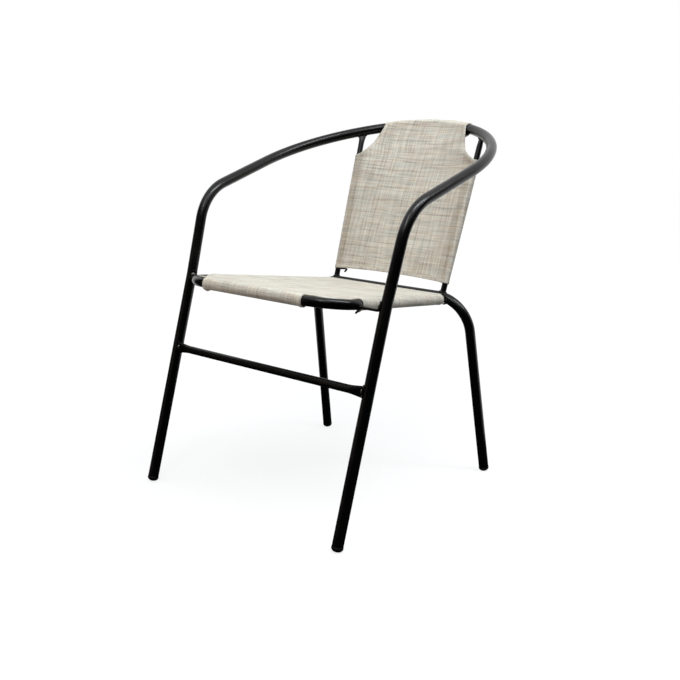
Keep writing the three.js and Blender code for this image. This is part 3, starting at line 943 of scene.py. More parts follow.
@dataclass
class LegTube:
    """A bent tube with two feet, and their caps."""

    stock: Stock = Stock(22.0, 1.2)
    cap: FootCap = FootCap()

    def stand(self, end: str, name: str, node: str) -> list:
        """The tube and its two caps.

        Args:
            end: The chair's end that its feet are at.
            name: The tube's name.
            node: The node that the tube stands for.

        Returns:
            The pieces.
        """
        up = -self.route.headings[-1]
        tube = pipe(name, node, self.route.cut_back(self.cap.rise(up)), self.stock)
        return [tube, *self.cap.build(end, self.route.places[-1], up, self.stock.bore)]


@dataclass
class ArmHoop(LegTube):
    """The long tube that makes the front legs, the arms and the hoop, in mm and radians."""

    foot_half_span: float = 253.6
    knee_height: float = 441.8
    lean: float = math.radians(14.35)
    spread_at_seat: float = 3.0
    spread_above_seat: float = 7.4
    knee_radius: float = 300.0
    corner_above_seat: float = 170.3
    arm_radius: float = 108.0
    rise: float = math.radians(19.08)
    toe_out: float = math.radians(1.73)
    arm_length: float = 204.9
    hoop_radius: float = 305.6
    hoop_turn: float = math.radians(58.7)

    def __post_init__(self) -> None:
        """Works out the route from the sizes."""
        slope = math.tan(self.lean)
        high = self.knee_height + self.corner_above_seat
        foot = place(self.foot_half_span, 0, 0)
        knee = foot + (self.spread_at_seat, self.knee_height * slope, self.knee_height)
        corner = place(knee[0] + self.spread_above_seat, high * slope, high)
        tangent = self.hoop_radius * math.tan(self.hoop_turn / 2)
        rear = corner + self.along(self.toe_out) * (self.arm_length + tangent)
        turned = self.toe_out - self.hoop_turn
        reach = rear[0] / math.sin(-turned)
        back_radius = (reach - tangent) / math.tan(math.pi / 2 + turned)
        middle = Bend(rear + self.along(turned) * reach, back_radius)
        self.route = Route.bent(foot, [Bend(knee, self.knee_radius),
                                       Bend(corner, self.arm_radius),
                                       Bend(rear, self.hoop_radius)], (middle,))

    def along(self, side: float) -> Array:
        """The direction in the arms' sloping plane that is turned outwards by an angle."""
        return place(math.sin(side), math.cos(side) * math.cos(self.rise),
                     math.cos(side) * math.sin(self.rise))

    def leg_at(self, height: float) -> Array:
        """The centre of the right leg at a height."""
        return self.route.at(2, height)

    def leg_axes(self) -> tuple:
        """Across, rearward and upward directions of the right front leg."""
        sine, cosine = math.sin(self.lean), math.cos(self.lean)
        return place(1, 0, 0), place(0, cosine, -sine), place(0, sine, cosine)

    def build(self) -> list:
        """The tube and its two caps."""
        return self.stand("front", "arm_hoop", "arm_hoop_tube")


@dataclass
class RearLegs(LegTube):
    """The tube that makes the rear legs and the crossbar between them, in mm."""

    depth: float = 34.0 + 442.1
    height: float = 441.8 - 35.0
    corner_half_span: float = 212.2
    radius: float = 78.0
    spread: float = 21.7
    kick: float = 97.1

    def __post_init__(self) -> None:
        """Works out the route from the sizes."""
        corner = place(self.corner_half_span, self.depth, self.height)
        foot = corner + (self.spread, self.kick, -self.height)
        self.route = Route.bent(foot, [Bend(corner, self.radius)])

    def bar_at(self, half_span: float) -> Cylinder:
        """The crossbar at a half span, with its direction over 1 mm to each side."""
        before, centre, after = self.route.at(0, half_span + np.array((-1.0, 0.0, 1.0)))
        return Cylinder(centre, unit(after - before), self.stock.radius)

    def build(self) -> list:
        """The tube and its two caps."""
        return self.stand("rear", "rear_legs", "rear_leg_tube")


@dataclass
class SeatRail:
    """The tube round the front and the sides of the seat, in mm."""

    hoop: ArmHoop
    rear: RearLegs
    stock: Stock = Stock(20.0, 1.0)
    depth: float = 34.0
    height: float = 441.8
    leg_gap: float = 32.6
    radius: float = 66.0
    rear_half_span: float = 155.0
    rear_step: float = 4.0
    chord: float = 2.0

    def __post_init__(self) -> None:
        """Works out the route from the sizes and the tubes beside it."""
        inside = self.hoop.leg_at(self.height)[0] - self.hoop.stock.radius
        corner = place(inside - self.leg_gap - self.stock.radius, self.depth, self.height)
        self.bar = self.rear.bar_at(self.rear_half_span)
        end = self.bar.centre - (0, 0, self.rear_step)
        route = Route.bent(end, [Bend(corner, self.radius)], chord=self.chord)
        self.route = replace(route, lead=place(0, 0, 1))
        front = np.isclose(route.places[:, 1], self.depth)
        self.bend_start = float(route.places[front, 0].max())

    def half_span(self, depth: Array) -> Array:
        """Half the width between the rails' centres at given depths."""
        return self.route.at(1, depth)[..., 0]

    def end_ring(self) -> Array:
        """The line where the right end meets the crossbar."""
        return self.bar.cope(self.route.carry(circle(PIPE_SIDES) * self.stock.radius)[-1],
                             self.route.headings[-1])

    def build(self) -> list:
        """The tube, with its ends shaped to the crossbar."""
        return [pipe("seat_rail", "seat_rail_tube", self.route, self.stock,
                     (self.bar.mirrored(), self.bar))]


@dataclass(frozen=True)
class Press:
    """How a round tube's end is pressed: its width, its thickness and the length it takes."""

    width: float
    thickness: float
    length: float
    groove: float
    squareness: float = 0.35
    groove_share: float = 0.22
    sides: int = 56

    def profiles(self, diameter: float, from_end: Array) -> Array:
        """Sections of the tube at distances from its end.

        The circle (cos a, sin a) is raised to a power that squares it off, widened one way and
        thinned the other by an even ease towards the end, and grooved down its flat faces by
        a bell of the distance from the middle.

        Args:
            diameter: The tube's diameter.
            from_end: Distance of each section from the end.

        Returns:
            Sections by points by 2, wide axis first.
        """
        amount = smooth(1 - from_end / self.length)[:, None]
        power = 1 / (1 + self.squareness * amount)
        ring = circle(self.sides)[None]
        squared = np.sign(ring) * np.abs(ring) ** power[..., None]
        wide = squared[..., 0] * (diameter + (self.width - diameter) * amount) / 2
        thin = squared[..., 1] * (diameter + (self.thickness - diameter) * amount) / 2
        bell = np.exp(-(wide / (self.groove_share * self.width)) ** 2)
        return np.stack((wide, thin * (1 - self.groove * amount * bell)), -1)


@dataclass
class BackPost:
    """A thin tube from the crossbar to the hoop, with a pressed head, in mm."""

    hoop: ArmHoop
    rear: RearLegs
    stock: Stock = Stock(13.0, 1.0)
    foot_half_span: float = 149.1
    head_half_span: float = 163.6
    press: Press = Press(19.0, 7.0, 30.0, 0.35)
    foot_length: float = 20.0
    clearance: float = 1.0
    steps: int = 20

    def __post_init__(self) -> None:
        """Finds the post's axis, the tubes at its ends, and the lines where it meets them.

        Sections are eased from round to pressed, and the end ones are shaped to the tubes.
        """
        near = self.hoop.route.at(0, self.head_half_span + np.array((-1.0, 0.0, 1.0)))
        bar = self.rear.bar_at(self.foot_half_span)
        hoop = Cylinder(near[1], unit(near[0] - near[2]), self.hoop.stock.radius)
        self.foot, self.head = bar.centre, hoop.centre
        self.up = unit(self.head - self.foot)
        length = float(np.linalg.norm(self.head - self.foot))
        reach = hoop.radius + self.clearance
        pressed = np.linspace(length - self.press.length, length - reach, self.steps)
        stations = np.concatenate(((0.0, self.foot_length), pressed, (length,)))
        route = Route.straight(self.foot, self.head, stations, hoop.axis)
        from_end = np.maximum(length - stations, reach)
        self.outer = route.carry(self.press.profiles(self.stock.diameter, from_end))
        self.outer[0] = bar.cope(self.outer[0], -self.up)
        self.outer[-1] = hoop.cope(self.outer[-1], self.up)

    def build(self) -> list:
        """Both posts."""
        return pair("post", "back_post", [self.outer], POWDER)


@dataclass(frozen=True)
class LegTab:
    """A curved steel tab that hugs the inner front of a front leg, in mm and radians."""

    thickness: float = 2.2
    gap: float = 0.3
    start: float = math.radians(166.0)
    end: float = math.radians(248.0)
    corner: float = 5.0
    edge: float = 0.5
    steps: int = 34

    def points(self, hoop: ArmHoop, centre: Array, height: float) -> Array:
        """A rounded bar section carried round the leg: centre + r (cos a, sin a) + z up.

        Its height is drawn in near both ends by a quarter circle, which rounds its corners.

        Args:
            hoop: The tube that the tab lies on.
            centre: The leg's centre at the tab's middle.
            height: The tab's height.

        Returns:
            A grid of points, along the arc by round the section.
        """
        across, rearward, up = hoop.leg_axes()
        middle = hoop.stock.radius + self.gap / 3 + self.thickness / 2
        ease = (1 - np.cos(np.linspace(0, math.pi, self.steps))) / 2
        angle = self.start + (self.end - self.start) * ease
        from_end = np.minimum(angle - self.start, self.end - angle) * middle
        inset = np.maximum(self.corner - from_end, 0)
        drawn = self.corner - np.sqrt(np.maximum(self.corner ** 2 - inset ** 2, 0.0))
        section = rounded_rectangle(self.thickness, height, self.edge)
        tall = section[:, 1] * 2 / height * (height / 2 - drawn)[:, None]
        out = np.cos(angle)[:, None] * across + np.sin(angle)[:, None] * rearward
        profile = np.stack(np.broadcast_arrays(middle + section[:, 0], tall), -1)
        return sweep(centre[None], out, up, profile)


@dataclass
class Stretcher:
    """The tube between the front legs, pressed tall and flat at both ends, in mm."""

    hoop: ArmHoop
    tab: LegTab
    stock: Stock = Stock(16.0, 1.0)
    height: float = 285.7
    forward: float = 5.0
    press: Press = Press(24.0, 5.0, 45.0, 0.25)
    clearance: float = 1.0
    steps: int = 24

    def build(self) -> list:
        """The pressed tube, coped to the tabs, and the two tabs, in one piece.

        Returns:
            The piece.
        """
        leg = self.hoop.leg_at(self.height)
        end = leg - (0, self.forward, 0)
        length = 2 * end[0]
        radius = self.hoop.stock.radius + self.tab.gap
        pressed = np.linspace(radius + self.clearance, self.press.length, self.steps)
        near = np.concatenate(((0.0,), pressed))
        stations = np.concatenate((near, length - near[::-1]))
        route = Route.straight(mirrored(end), end, stations, place(0, 0, 1))
        from_end = np.maximum(np.minimum(stations, length - stations), radius)
        outer = route.carry(self.press.profiles(self.stock.diameter, from_end))
        face = Cylinder(leg, self.hoop.leg_axes()[2], radius)
        outer[-1] = face.cope(outer[-1], place(1, 0, 0))
        outer[0] = mirrored(outer[-1])
        shell = Shell()
        shell.solid(outer)
        for side in Side:
            shell.solid(mirrored(self.tab.points(self.hoop, leg, self.press.width), side))
        return [shell.build("stretcher", POWDER, "front_stretcher")]


@dataclass
class SeatBracket:
    """A flat steel leaf from the seat rail to a front leg, with a tab up the leg, in mm."""

    hoop: ArmHoop
    rail: SeatRail
    tab: LegTab
    drop: float = 9.0
    thickness: float = 5.0
    width: float = 14.0
    forward: float = 8.0
    tab_height: float = 19.0
    tab_rise: float = 4.8
    edge: float = 1.2
    screw_rise: float = 4.5
    rail_lap: float = 2.0
    leg_share: float = 0.7
    steps: int = 14

    @property
    def height(self) -> float:
        """Height of the leaf's middle."""
        return self.rail.height - self.drop

    @property
    def screw_height(self) -> float:
        """Height of the tab's screw."""
        return self.height + self.screw_rise

    def build(self) -> list:
        """Both brackets: a rounded bar section carried across, and the tab round the leg.

        Returns:
            The pieces.
        """
        leg = self.hoop.leg_at(self.height)
        depth = leg[1] - self.forward
        inner = float(self.rail.half_span(depth)) - self.rail_lap
        x = np.linspace(inner, leg[0] - self.hoop.stock.radius * self.leg_share, self.steps)
        line = np.stack((x, np.full_like(x, depth), np.full_like(x, self.height)), -1)
        section = rounded_rectangle(self.width, self.thickness, self.edge)
        leaf = sweep(line, place(0, 1, 0), place(0, 0, 1), section)
        centre = self.hoop.leg_at(self.height + self.tab_rise)
        tab = self.tab.points(self.hoop, centre, self.tab_height)
        return pair("bracket", "seat_bracket", [leaf, tab], POWDER)


@dataclass
class TabScrew:
    """A pan-head screw with a cross recess, through a tab into the leg, in mm and radians."""

    hoop: ArmHoop
    tab: LegTab
    turn: float = math.radians(210.0)
    head_diameter: float = 8.6
    head_height: float = 2.6
    dome_power: float = 0.8
    shank_diameter: float = 3.8
    shank_length: float = 7.0
    tip_length: float = 1.5
    tip_share: float = 0.4
    recess_width: float = 1.0
    recess_reach: float = 2.6
    recess_depth: float = 1.5
    wall_lean: float = 0.3
    end_lean: float = 0.5
    steps: int = 30
    sides: int = 72

    def recess(self, flat: Array) -> Array:
        """Depth of the cross at places on the head.

        It is the recess's depth inside either arm, where the smaller of |x| and |y| is under
        half the arm's width and the larger under its reach, with walls that lean a little.

        Args:
            flat: The places, with x and y along the arms.

        Returns:
            The depths.
        """
        small = np.abs(flat).min(-1)
        large = np.abs(flat).max(-1)
        inside = smooth((self.recess_width / 2 + self.wall_lean / 2 - small) / self.wall_lean)
        within = smooth((self.recess_reach - large) / self.end_lean)
        return self.recess_depth * inside * within

    def build(self, holds: str, height: float) -> list:
        """A screw on each side, its head, underside and shank one surface of revolution.

        The head's top is an ellipse's quarter (R sin t, H cos t) with the cross sunk in it.

        Args:
            holds: What the screws hold.
            height: Their height on the legs.

        Returns:
            The right and the left screw.
        """
        shank = self.shank_diameter / 2
        turn = np.linspace(POLE_ANGLE, math.pi / 2, self.steps)
        radius = np.concatenate((self.head_diameter / 2 * np.sin(turn),
                                 (shank, shank, self.tip_share * shank)))
        rise = np.concatenate((self.head_height * np.cos(turn) ** self.dome_power,
                               (0.0, self.tip_length - self.shank_length, -self.shank_length)))
        flat = radius[:, None, None] * circle(self.sides)
        lift = np.repeat(rise[:, None], self.sides, 1)
        lift[:self.steps] -= self.recess(flat[:self.steps])
        across, rearward, up = self.hoop.leg_axes()
        out = math.cos(self.turn) * across + math.sin(self.turn) * rearward
        base = self.hoop.leg_at(height) + out * (
            self.hoop.stock.radius + self.tab.gap / 3 + self.tab.thickness)
        points = sweep(base[None], np.cross(up, out), up, flat) + lift[..., None] * out
        return pair(f"screw_{holds}", f"{holds}_screw", [points], PLATED)


@dataclass(frozen=True)
class WeldBeads:
    """Rippled fillet welds where one tube meets another, in mm."""

    size: float = 1.7
    ripple: float = 1.5
    ripple_height: float = 0.16
    stand_out: float = 0.25
    stations: int = 150
    sides: int = 10

    def bead(self, ring: Array, heading: Array) -> Array:
        """A bead round the closed line where two tubes meet.

        A circle of radius r (1 + h sin(2 pi s / ripple)) is carried round the line, with s the
        distance along it, and stands a little out from the tube that ends there.

        Args:
            ring: The line, as a ring of points.
            heading: The direction of the tube that ends there, towards the other.

        Returns:
            A grid of points that closes both ways.
        """
        closed = np.concatenate((ring, ring[:1]))
        length = run_lengths(closed)
        spots = np.linspace(0, length[-1], self.stations, endpoint=False)
        line = at_lengths(spots, length, closed)
        along = unit(np.roll(line, -1, 0) - np.roll(line, 1, 0))
        out = unit(np.cross(along, heading))
        outwards = np.sign(((line - line.mean(0)) * out).sum(-1, keepdims=True).mean())
        phase = 2 * math.pi * round(length[-1] / self.ripple) * spots / length[-1]
        radius = self.size * (1 + self.ripple_height * np.sin(phase))
        return sweep(line + out * outwards * self.stand_out * self.size, out,
                     np.cross(along, out), radius[:, None, None] * circle(self.sides))

    def build(self, rings: list) -> list:
        """All the beads in one piece.

        Args:
            rings: Pairs of a line and the heading of the tube that ends there, right side.

        Returns:
            The piece.
        """
        shell = Shell()
        for ring, heading in rings:
            for side in Side:
                shell.grid(mirrored(self.bead(ring, heading), side), ring=True, loop=True)
        return [shell.build("weld_beads", POWDER)]


@dataclass(frozen=True)
class Edge:
    """A line on the cloth, with the directions off it, n by 3 each."""

    line: Array
    inwards: Array
    normal: Array

    @classmethod
    def of(cls, line: Array, inner: Array, way: Array) -> "Edge":
        """The edge along a line of points.

        Args:
            line: The line.
            inner: The next line inwards.
            way: A direction to the side that the normals point to.

        Returns:
            The edge.
        """
        along = unit(np.gradient(line, axis=0))
        inwards = inner - line
        inwards = unit(inwards - (inwards * along).sum(-1, keepdims=True) * along)
        normal = np.cross(along, inwards)
        return cls(line, inwards, normal * np.sign((normal * way).sum(-1, keepdims=True)))

    def moved(self, inwards: float, up: float) -> "Edge":
        """The line shifted inwards and off the cloth."""
        return replace(self, line=self.line + self.inwards * inwards + self.normal * up)

    def resampled(self, pitch: float) -> "Edge":
        """The same edge at an even spacing near a pitch.

        Args:
            pitch: The spacing.

        Returns:
            The edge.
        """
        length = run_lengths(self.line)
        spots = np.linspace(0, length[-1], max(4, round(length[-1] / pitch)) + 1)
        line, inwards, normal = (at_lengths(spots, length, values)
                                 for values in (self.line, self.inwards, self.normal))
        return Edge(line, unit(inwards), unit(normal))


@dataclass(frozen=True)
class Seams:
    """Turned hems and rows of lock stitches on the sling cloth, in mm."""

    cloth: float = 1.2
    hem_width: float = 7.0
    hem_thickness: float = 2.3
    hem_round: float = 0.48
    hem_stand_out: float = 0.45
    hem_pitch: float = 4.0
    hem_steps: int = 3
    stitch_inset: float = 5.4
    stitch_pitch: float = 3.3
    stitch_length: float = 2.5
    twin_insets: tuple = (-1.5, 3.0)
    thread: float = 0.55
    thread_shares: tuple = (-1.0, -0.8, 0.0, 0.8, 1.0)
    thread_widths: tuple = (0.35, 0.9, 1.0, 0.9, 0.35)
    thread_bow: tuple = (0.9, 0.98, 0.55)
    thread_sides: int = 5

    def hem(self, shell: Shell, edge: Edge) -> None:
        """Adds a folded hem: a flat rounded section carried along an edge of the cloth.

        Args:
            shell: The mesh to add it to.
            edge: The edge.
        """
        even = edge.resampled(self.hem_pitch)
        section = rounded_rectangle(self.hem_width, self.hem_thickness,
                                    self.hem_round * self.hem_thickness, self.hem_steps)
        section[:, 0] += self.hem_width / 2 - self.hem_stand_out
        cloth = np.broadcast_arrays(section[None, :, 0], run_lengths(even.line)[:, None])
        shell.solid(sweep(even.line, even.inwards, even.normal, section), np.stack(cloth, -1))

    def row(self, shell: Shell, edge: Edge, inset: float, lift: float) -> None:
        """Adds a row of stitches: short bowed threads that dip into the cloth at both ends.

        A stitch's middle line rises by the square root of 1 - t^2 over its length, and its
        section is a circle that closes at the ends.

        Args:
            shell: The mesh to add them to.
            edge: The edge that the row follows.
            inset: How far in from the edge the row lies.
            lift: Height of the cloth's face above the edge's line.
        """
        even = edge.moved(inset, lift).resampled(self.stitch_pitch)
        middle = (even.line[:-1] + even.line[1:]) / 2
        along = unit(even.line[1:] - even.line[:-1])
        share = np.array(self.thread_shares)
        high, full, sunk = self.thread_bow
        rise = self.thread * (high * np.sqrt(1 - share ** 2 * full) - sunk)
        radius = self.thread / 2 * np.array(self.thread_widths)
        ring = radius[:, None, None] * circle(self.thread_sides)
        for start, way, up in zip(middle, along, even.normal[:-1]):
            line = start + share[:, None] * way * self.stitch_length / 2 + rise[:, None] * up
            shell.solid(sweep(line, np.cross(way, up), up, ring))

    def build(self, name: str, edges: list, rows: list) -> list:
        """The hems in one piece and the stitches in another.

        Args:
            name: What the pieces' names start with.
            edges: The edges that get a hem.
            rows: Edge, inset and lift of each row of stitches.

        Returns:
            Both pieces.
        """
        hems = Shell()
        for edge in edges:
            self.hem(hems, edge)
        stitches = Shell()
        for edge, inset, lift in rows:
            self.row(stitches, edge, inset, lift)
        return [hems.build(f"{name}_hems", SLING), stitches.build(f"{name}_stitches", THREAD)]


@dataclass(frozen=True)
class Cut:
    """A cloth's parts as grids of points, with where they lie on the flat cloth.

    The panel has its points' flat places, its rows' places along, and how much painted shade
    darkens it where a tube lies right behind it. The flap has its columns' places across, where it
    starts along, and the way, 1 or -1, that it goes on from there. The right sleeve has how far
    out its sections start and their places along. The length is the flat cloth's, from end to end.
    """

    panel: Array
    flat: Array
    rows: Array
    flap: Array
    across: Array
    start: Array
    way: int
    side: Array
    out: Array
    sleeve: Array
    length: float
    tube_shade: Array = 0.0


@dataclass(kw_only=True)
class Sling:
    """A cloth drawn tight between tubes: a panel, a flap over one and a sleeve on each side.

    Each sling has normal, the direction that the panel faces, and radius, the radius of the
    cloth's middle surface round the tubes in its sleeves.
    """

    hoop: ArmHoop
    seams: Seams = Seams()
    gap: float = 0.3
    fold_gap: float = 0.05
    seam_inset: float = 26.0
    allowance: float = 10.0
    # Painted shade: a black tail hooked out of a hem, a dark mark for the shaded end of a seam.
    shade_tail_line: tuple
    shade_tail_radius: float = 2.2
    shade_tail_start: float = 0.5
    shade_tail_sides: int = 10

    @property
    def lay(self) -> float:
        """How far behind the panel its folded edges lie."""
        return self.seams.cloth + self.fold_gap

    def round_tube(self, stock: Stock) -> float:
        """Radius of the cloth's middle surface round a tube."""
        return stock.radius + self.gap + self.seams.cloth / 2

    def wrapped(self, centre: Array, out: Array, normal: Array, radius: float,
                seam: Array, end: Array) -> Array:
        """Cloth that leaves the panel, goes round a tube and is sewn to the panel's back.

        In each section the cloth turns from the panel's tangent point, c + r (cos a, sin a)
        with a falling from 90 degrees, to the point from which a straight line just touches
        the seam. Then it runs straight to the seam and along the panel's back to its end.

        Args:
            centre: Tube centres, n by 3.
            out: Directions away from the panel, across the tube, n by 3 or one for all.
            normal: The panel's normals there, n by 3 or one for all.
            radius: Radius of the cloth's middle surface.
            seam: Places on the panel where the seam is, n by 3.
            end: Places on the panel where the cloth ends, n by 3.

        Returns:
            A grid of points, n sections by points along each.
        """
        seam = seam - self.lay * self.normal
        end = end - self.lay * self.normal
        to_seam = seam - centre
        sideways = (to_seam * out).sum(-1)
        upwards = (to_seam * normal).sum(-1)
        seam_angle = np.arctan2(upwards, sideways) % (2 * math.pi)
        leave = seam_angle + np.arccos(radius / np.hypot(sideways, upwards)) - 2 * math.pi
        share = np.linspace(0, 1, ARC_POINTS)
        angle = math.pi / 2 + (leave[:, None] - math.pi / 2) * share
        profile = radius * np.stack((np.cos(angle), np.sin(angle)), -1)
        arc = sweep(centre, out, normal, profile)
        tail = np.linspace(0, 1, TAIL_POINTS)[1:, None]
        fold = np.linspace(0, 1, FOLD_POINTS)[1:, None]
        return np.concatenate((arc, arc[:, -1:] + (seam[:, None] - arc[:, -1:]) * tail,
                               seam[:, None] + (end - seam)[:, None] * fold), 1)

    def hang(self, name: str, cut: Cut, lines: list, rests_on: list) -> list:
        """The cloth as a sheet with its thickness, half on each side, and its trim.

        Args:
            name: What the pieces' names start with.
            cut: The cloth.
            lines: For each seam its line on the panel and the next line inwards.
            rests_on: The pieces that carry it; not used.

        Returns:
            The cloth, its hems, its stitches and its shade tail.
        """
        turned = run_lengths(cut.flap)
        edge_x = cut.out[:, None] + run_lengths(cut.side)
        across = np.repeat(cut.across[:, None], turned.shape[1], 1)
        along = np.repeat(cut.sleeve[:, None], edge_x.shape[1], 1)
        shell = Shell()
        shell.grid(cut.panel, cloth=cut.flat, tube_shade=cut.tube_shade)
        shell.grid(cut.flap, cloth=np.stack((across, cut.start + cut.way * turned), -1))
        for which in Side:
            flat = np.stack((edge_x * which.value, along), -1)
            shell.grid(mirrored(cut.side, which), cloth=flat)
        sheet = shell.build(f"{name}_cloth", SLING, f"{name}_sling")
        wall = sheet.modifiers.new("thickness", "SOLIDIFY")
        wall.thickness = self.seams.cloth * MM
        wall.offset = 0.0
        wall.use_even_offset = True
        extras = self.sew(name, self.free_edges(cut.panel, cut.flap), cut.side, lines)
        area = np.trapz(2 * self.half(cut.rows), cut.rows)
        area += 2 * self.flap_half * turned[:, -1].mean()
        area += 2 * np.trapz(edge_x[:, -1] - edge_x[:, 0], cut.sleeve)
        return [sheet, *extras]

    def mouths(self, side: Array) -> list:
        """The edges of the sleeves' mouths.

        Args:
            side: The right sleeve's points.

        Returns:
            Two edges for each side.
        """
        edges = []
        for which in Side:
            for end, inner in ((0, 1), (-1, -2)):
                line, beside = (mirrored(side[k, :MOUTH_HEM_POINTS], which) for k in (end, inner))
                centre = mirrored(self.tube_at(side[end, :1]), which)
                edges.append(Edge.of(line, beside, line - centre))
        return edges

    def sew(self, name: str, free: list, side: Array, lines: list) -> list:
        """Hems on all free edges, and stitches along the panel's hems and the seams.

        Args:
            name: What the pieces' names start with.
            free: The free edges of the panel and the flap.
            side: The right sleeve's points.
            lines: For each seam its line on the panel and the next line inwards.

        Returns:
            The hems, the stitches and the shade tail.
        """
        rows = [(edge, self.seams.stitch_inset, self.seams.hem_thickness / 2) for edge in free]
        for line, inner in lines:
            seam = Edge.of(line, inner, self.normal)
            rows += [(seam, inset, self.seams.cloth / 2) for inset in self.seams.twin_insets]
        return [*self.seams.build(name, [*free, *self.mouths(side)], rows),
                self.strip_end(f"{name}_strip_end")]

    def strip_end(self, name: str) -> Object:
        """A black tail that hooks out of a hem: painted shade, a dark mark for the shaded end of a
        seam.

        A circle of the tail's radius is carried along its line, smaller at the first point.

        Args:
            name: The piece's name.

        Returns:
            The piece.
        """
        line = self.strip(*np.array(self.shade_tail_line).T)
        sideways = unit(np.cross(unit(np.gradient(line, axis=0)), self.normal))
        radii = self.shade_tail_radius * np.minimum(1, self.shade_tail_start + np.arange(len(line)))
        shell = Shell()
        shell.solid(sweep(line, sideways, self.normal,
                          radii[:, None, None] * circle(self.shade_tail_sides)))
        return shell.build(name, MOULDED)


@dataclass(kw_only=True)
class SeatSling(Sling):
    """The seat cloth: its flap goes round the front tube and its sleeves on the rails, in mm."""

    rail: SeatRail
    rear: RearLegs
    bracket: SeatBracket
    sleeve_clearance: float = 2.0
    sleeve_rear_gap: float = 14.0
    rear_edge_gap: float = 5.0
    notch_inset: float = 10.4
    notch_dip: float = 6.0
    sag: float = 6.0
    sag_start_share: float = 0.33
    flap_slack: float = 1.0
    flap_start: tuple = (0.1, 0.3)
    flap_end: tuple = (0.95, 0.25)
    ear_width: float = 7.0
    left_ear: tuple = (2.2, 5.0)
    right_ear: tuple = (0.66, 3.0)
    seam_margin: float = 6.0
    # Line of the seat's painted-shade tail, by distances ahead of the sleeve's mouth and down.
    shade_tail_line: tuple = ((-9.0, 0.6), (-4.0, 1.2), (0.0, 1.8), (3.5, 2.8), (6.0, 4.6))
    columns: int = 110
    rows: tuple = (28, 72, 4)
    seam_steps: int = 60

    def __post_init__(self) -> None:
        """Works out the cloth's limits from the pieces that carry and meet it."""
        self.radius = self.round_tube(self.rail.stock)
        bar = self.rear.depth - self.rear.stock.radius
        self.start = self.rail.depth
        self.side_start = (self.hoop.leg_at(self.bracket.height)[1] - self.bracket.forward
                           + self.bracket.width / 2 + self.sleeve_clearance)
        self.side_end = bar - self.sleeve_rear_gap
        self.end = bar - self.rear_edge_gap
        self.flap_half = self.rail.bend_start - self.seams.cloth
        end = self.rail.route.places[-1]
        tilt = math.atan((end[2] - self.rail.height) / (end[1] - self.rail.depth))
        self.forward = place(0, -math.cos(tilt), -math.sin(tilt))
        self.normal = place(0, -math.sin(tilt), math.cos(tilt))

    def half(self, depth: Array) -> Array:
        """Half the panel's width: to the rails, and inside them along the notches.

        Args:
            depth: Depths.

        Returns:
            The half widths there.
        """
        past = np.clip((depth - self.start) / (self.side_start - self.start), 0, 1)
        inset = self.notch_inset * np.sin(math.pi * past)
        front = np.isclose(depth, self.start)
        return np.where(front, self.flap_half, self.rail.half_span(depth)) - inset

    def panel(self, x: Array, depth: Array) -> Array:
        """Places on the panel's middle surface.

        It lies over the rails and sags between them by s (1 - a^2), with a the share of the
        half width, more in front than behind, and its edge dips along the notches.

        Args:
            x: Distances from the middle of the chair.
            depth: Depths, of the same shape.

        Returns:
            The places.
        """
        share = np.clip(x / self.half(depth), -1, 1)
        back = (depth - self.start) / (self.end - self.start)
        sink = np.clip(back / self.sag_start_share, 0, 1) * (1 - back)
        past = np.clip((depth - self.start) / (self.side_start - self.start), 0, 1)
        notch = np.sin(math.pi * past) ** 2
        drop = self.sag * (1 - share ** 2) * sink + self.notch_dip * notch * np.abs(share) ** 3
        height = self.rail.route.at(1, np.maximum(depth, self.start + WELD_DISTANCE))[..., 2]
        flat = np.stack((x, depth, height), -1)
        return flat + (self.radius - drop)[..., None] * self.normal

    def tube_at(self, points: Array) -> Array:
        """The right rail's centre beside points."""
        return self.rail.route.at(1, points[:, 1])

    def strip(self, ahead: Array, down: Array) -> Array:
        """The shade tail's line, by distances ahead of the right sleeve's mouth and down from it.
        """
        mouth = self.rail.route.at(1, self.side_start) - self.radius * self.normal
        return mouth + ahead[:, None] * self.forward - down[:, None] * self.normal

    def flap(self) -> Array:
        """The flap round the front tube.

        It hangs down a little under the tube, and more at its ends, where it has a dog-ear:
        slack + ear exp(-((x - x0) / w)^2).

        Returns:
            Its points, columns across by points round it.
        """
        x = np.linspace(-self.flap_half, self.flap_half, self.columns + 1)
        ones = np.ones_like(x)
        centre = np.stack((x, ones * self.rail.depth, ones * self.rail.height), -1)
        seam = self.start + self.seam_inset
        grid = self.wrapped(centre, self.forward, self.normal, self.radius,
                            self.panel(x, ones * seam),
                            self.panel(x, ones * (seam + self.allowance)))
        hang = self.flap_slack
        for (drop, inset), sign in ((self.left_ear, -1), (self.right_ear, 1)):
            from_ear = x - sign * (self.flap_half - inset)
            hang = hang + drop * np.exp(-(from_ear / self.ear_width) ** 2)
        station = np.linspace(0, 1, grid.shape[1])
        begun = smooth((station - self.flap_start[0]) / self.flap_start[1])
        left = smooth((self.flap_end[0] - station) / self.flap_end[1])
        grid[..., 2] -= hang[:, None] * (begun * left)
        return grid

    def side(self, depth: Array) -> Array:
        """The right sleeve.

        Args:
            depth: Depths of its sections.

        Returns:
            Its points, sections along the rail by points round it.
        """
        rail = self.rail.route.at(1, depth)
        along = unit(self.rail.route.places[-1] - rail[0])
        out = unit(np.cross(along, self.normal))
        out = out * np.sign(out[0])
        normal = np.cross(along, out)
        normal = normal * np.sign(normal[2])
        inner = rail[:, 0] - self.seam_inset
        return self.wrapped(rail, out, normal, self.radius, self.panel(inner, depth),
                            self.panel(inner - self.allowance, depth))

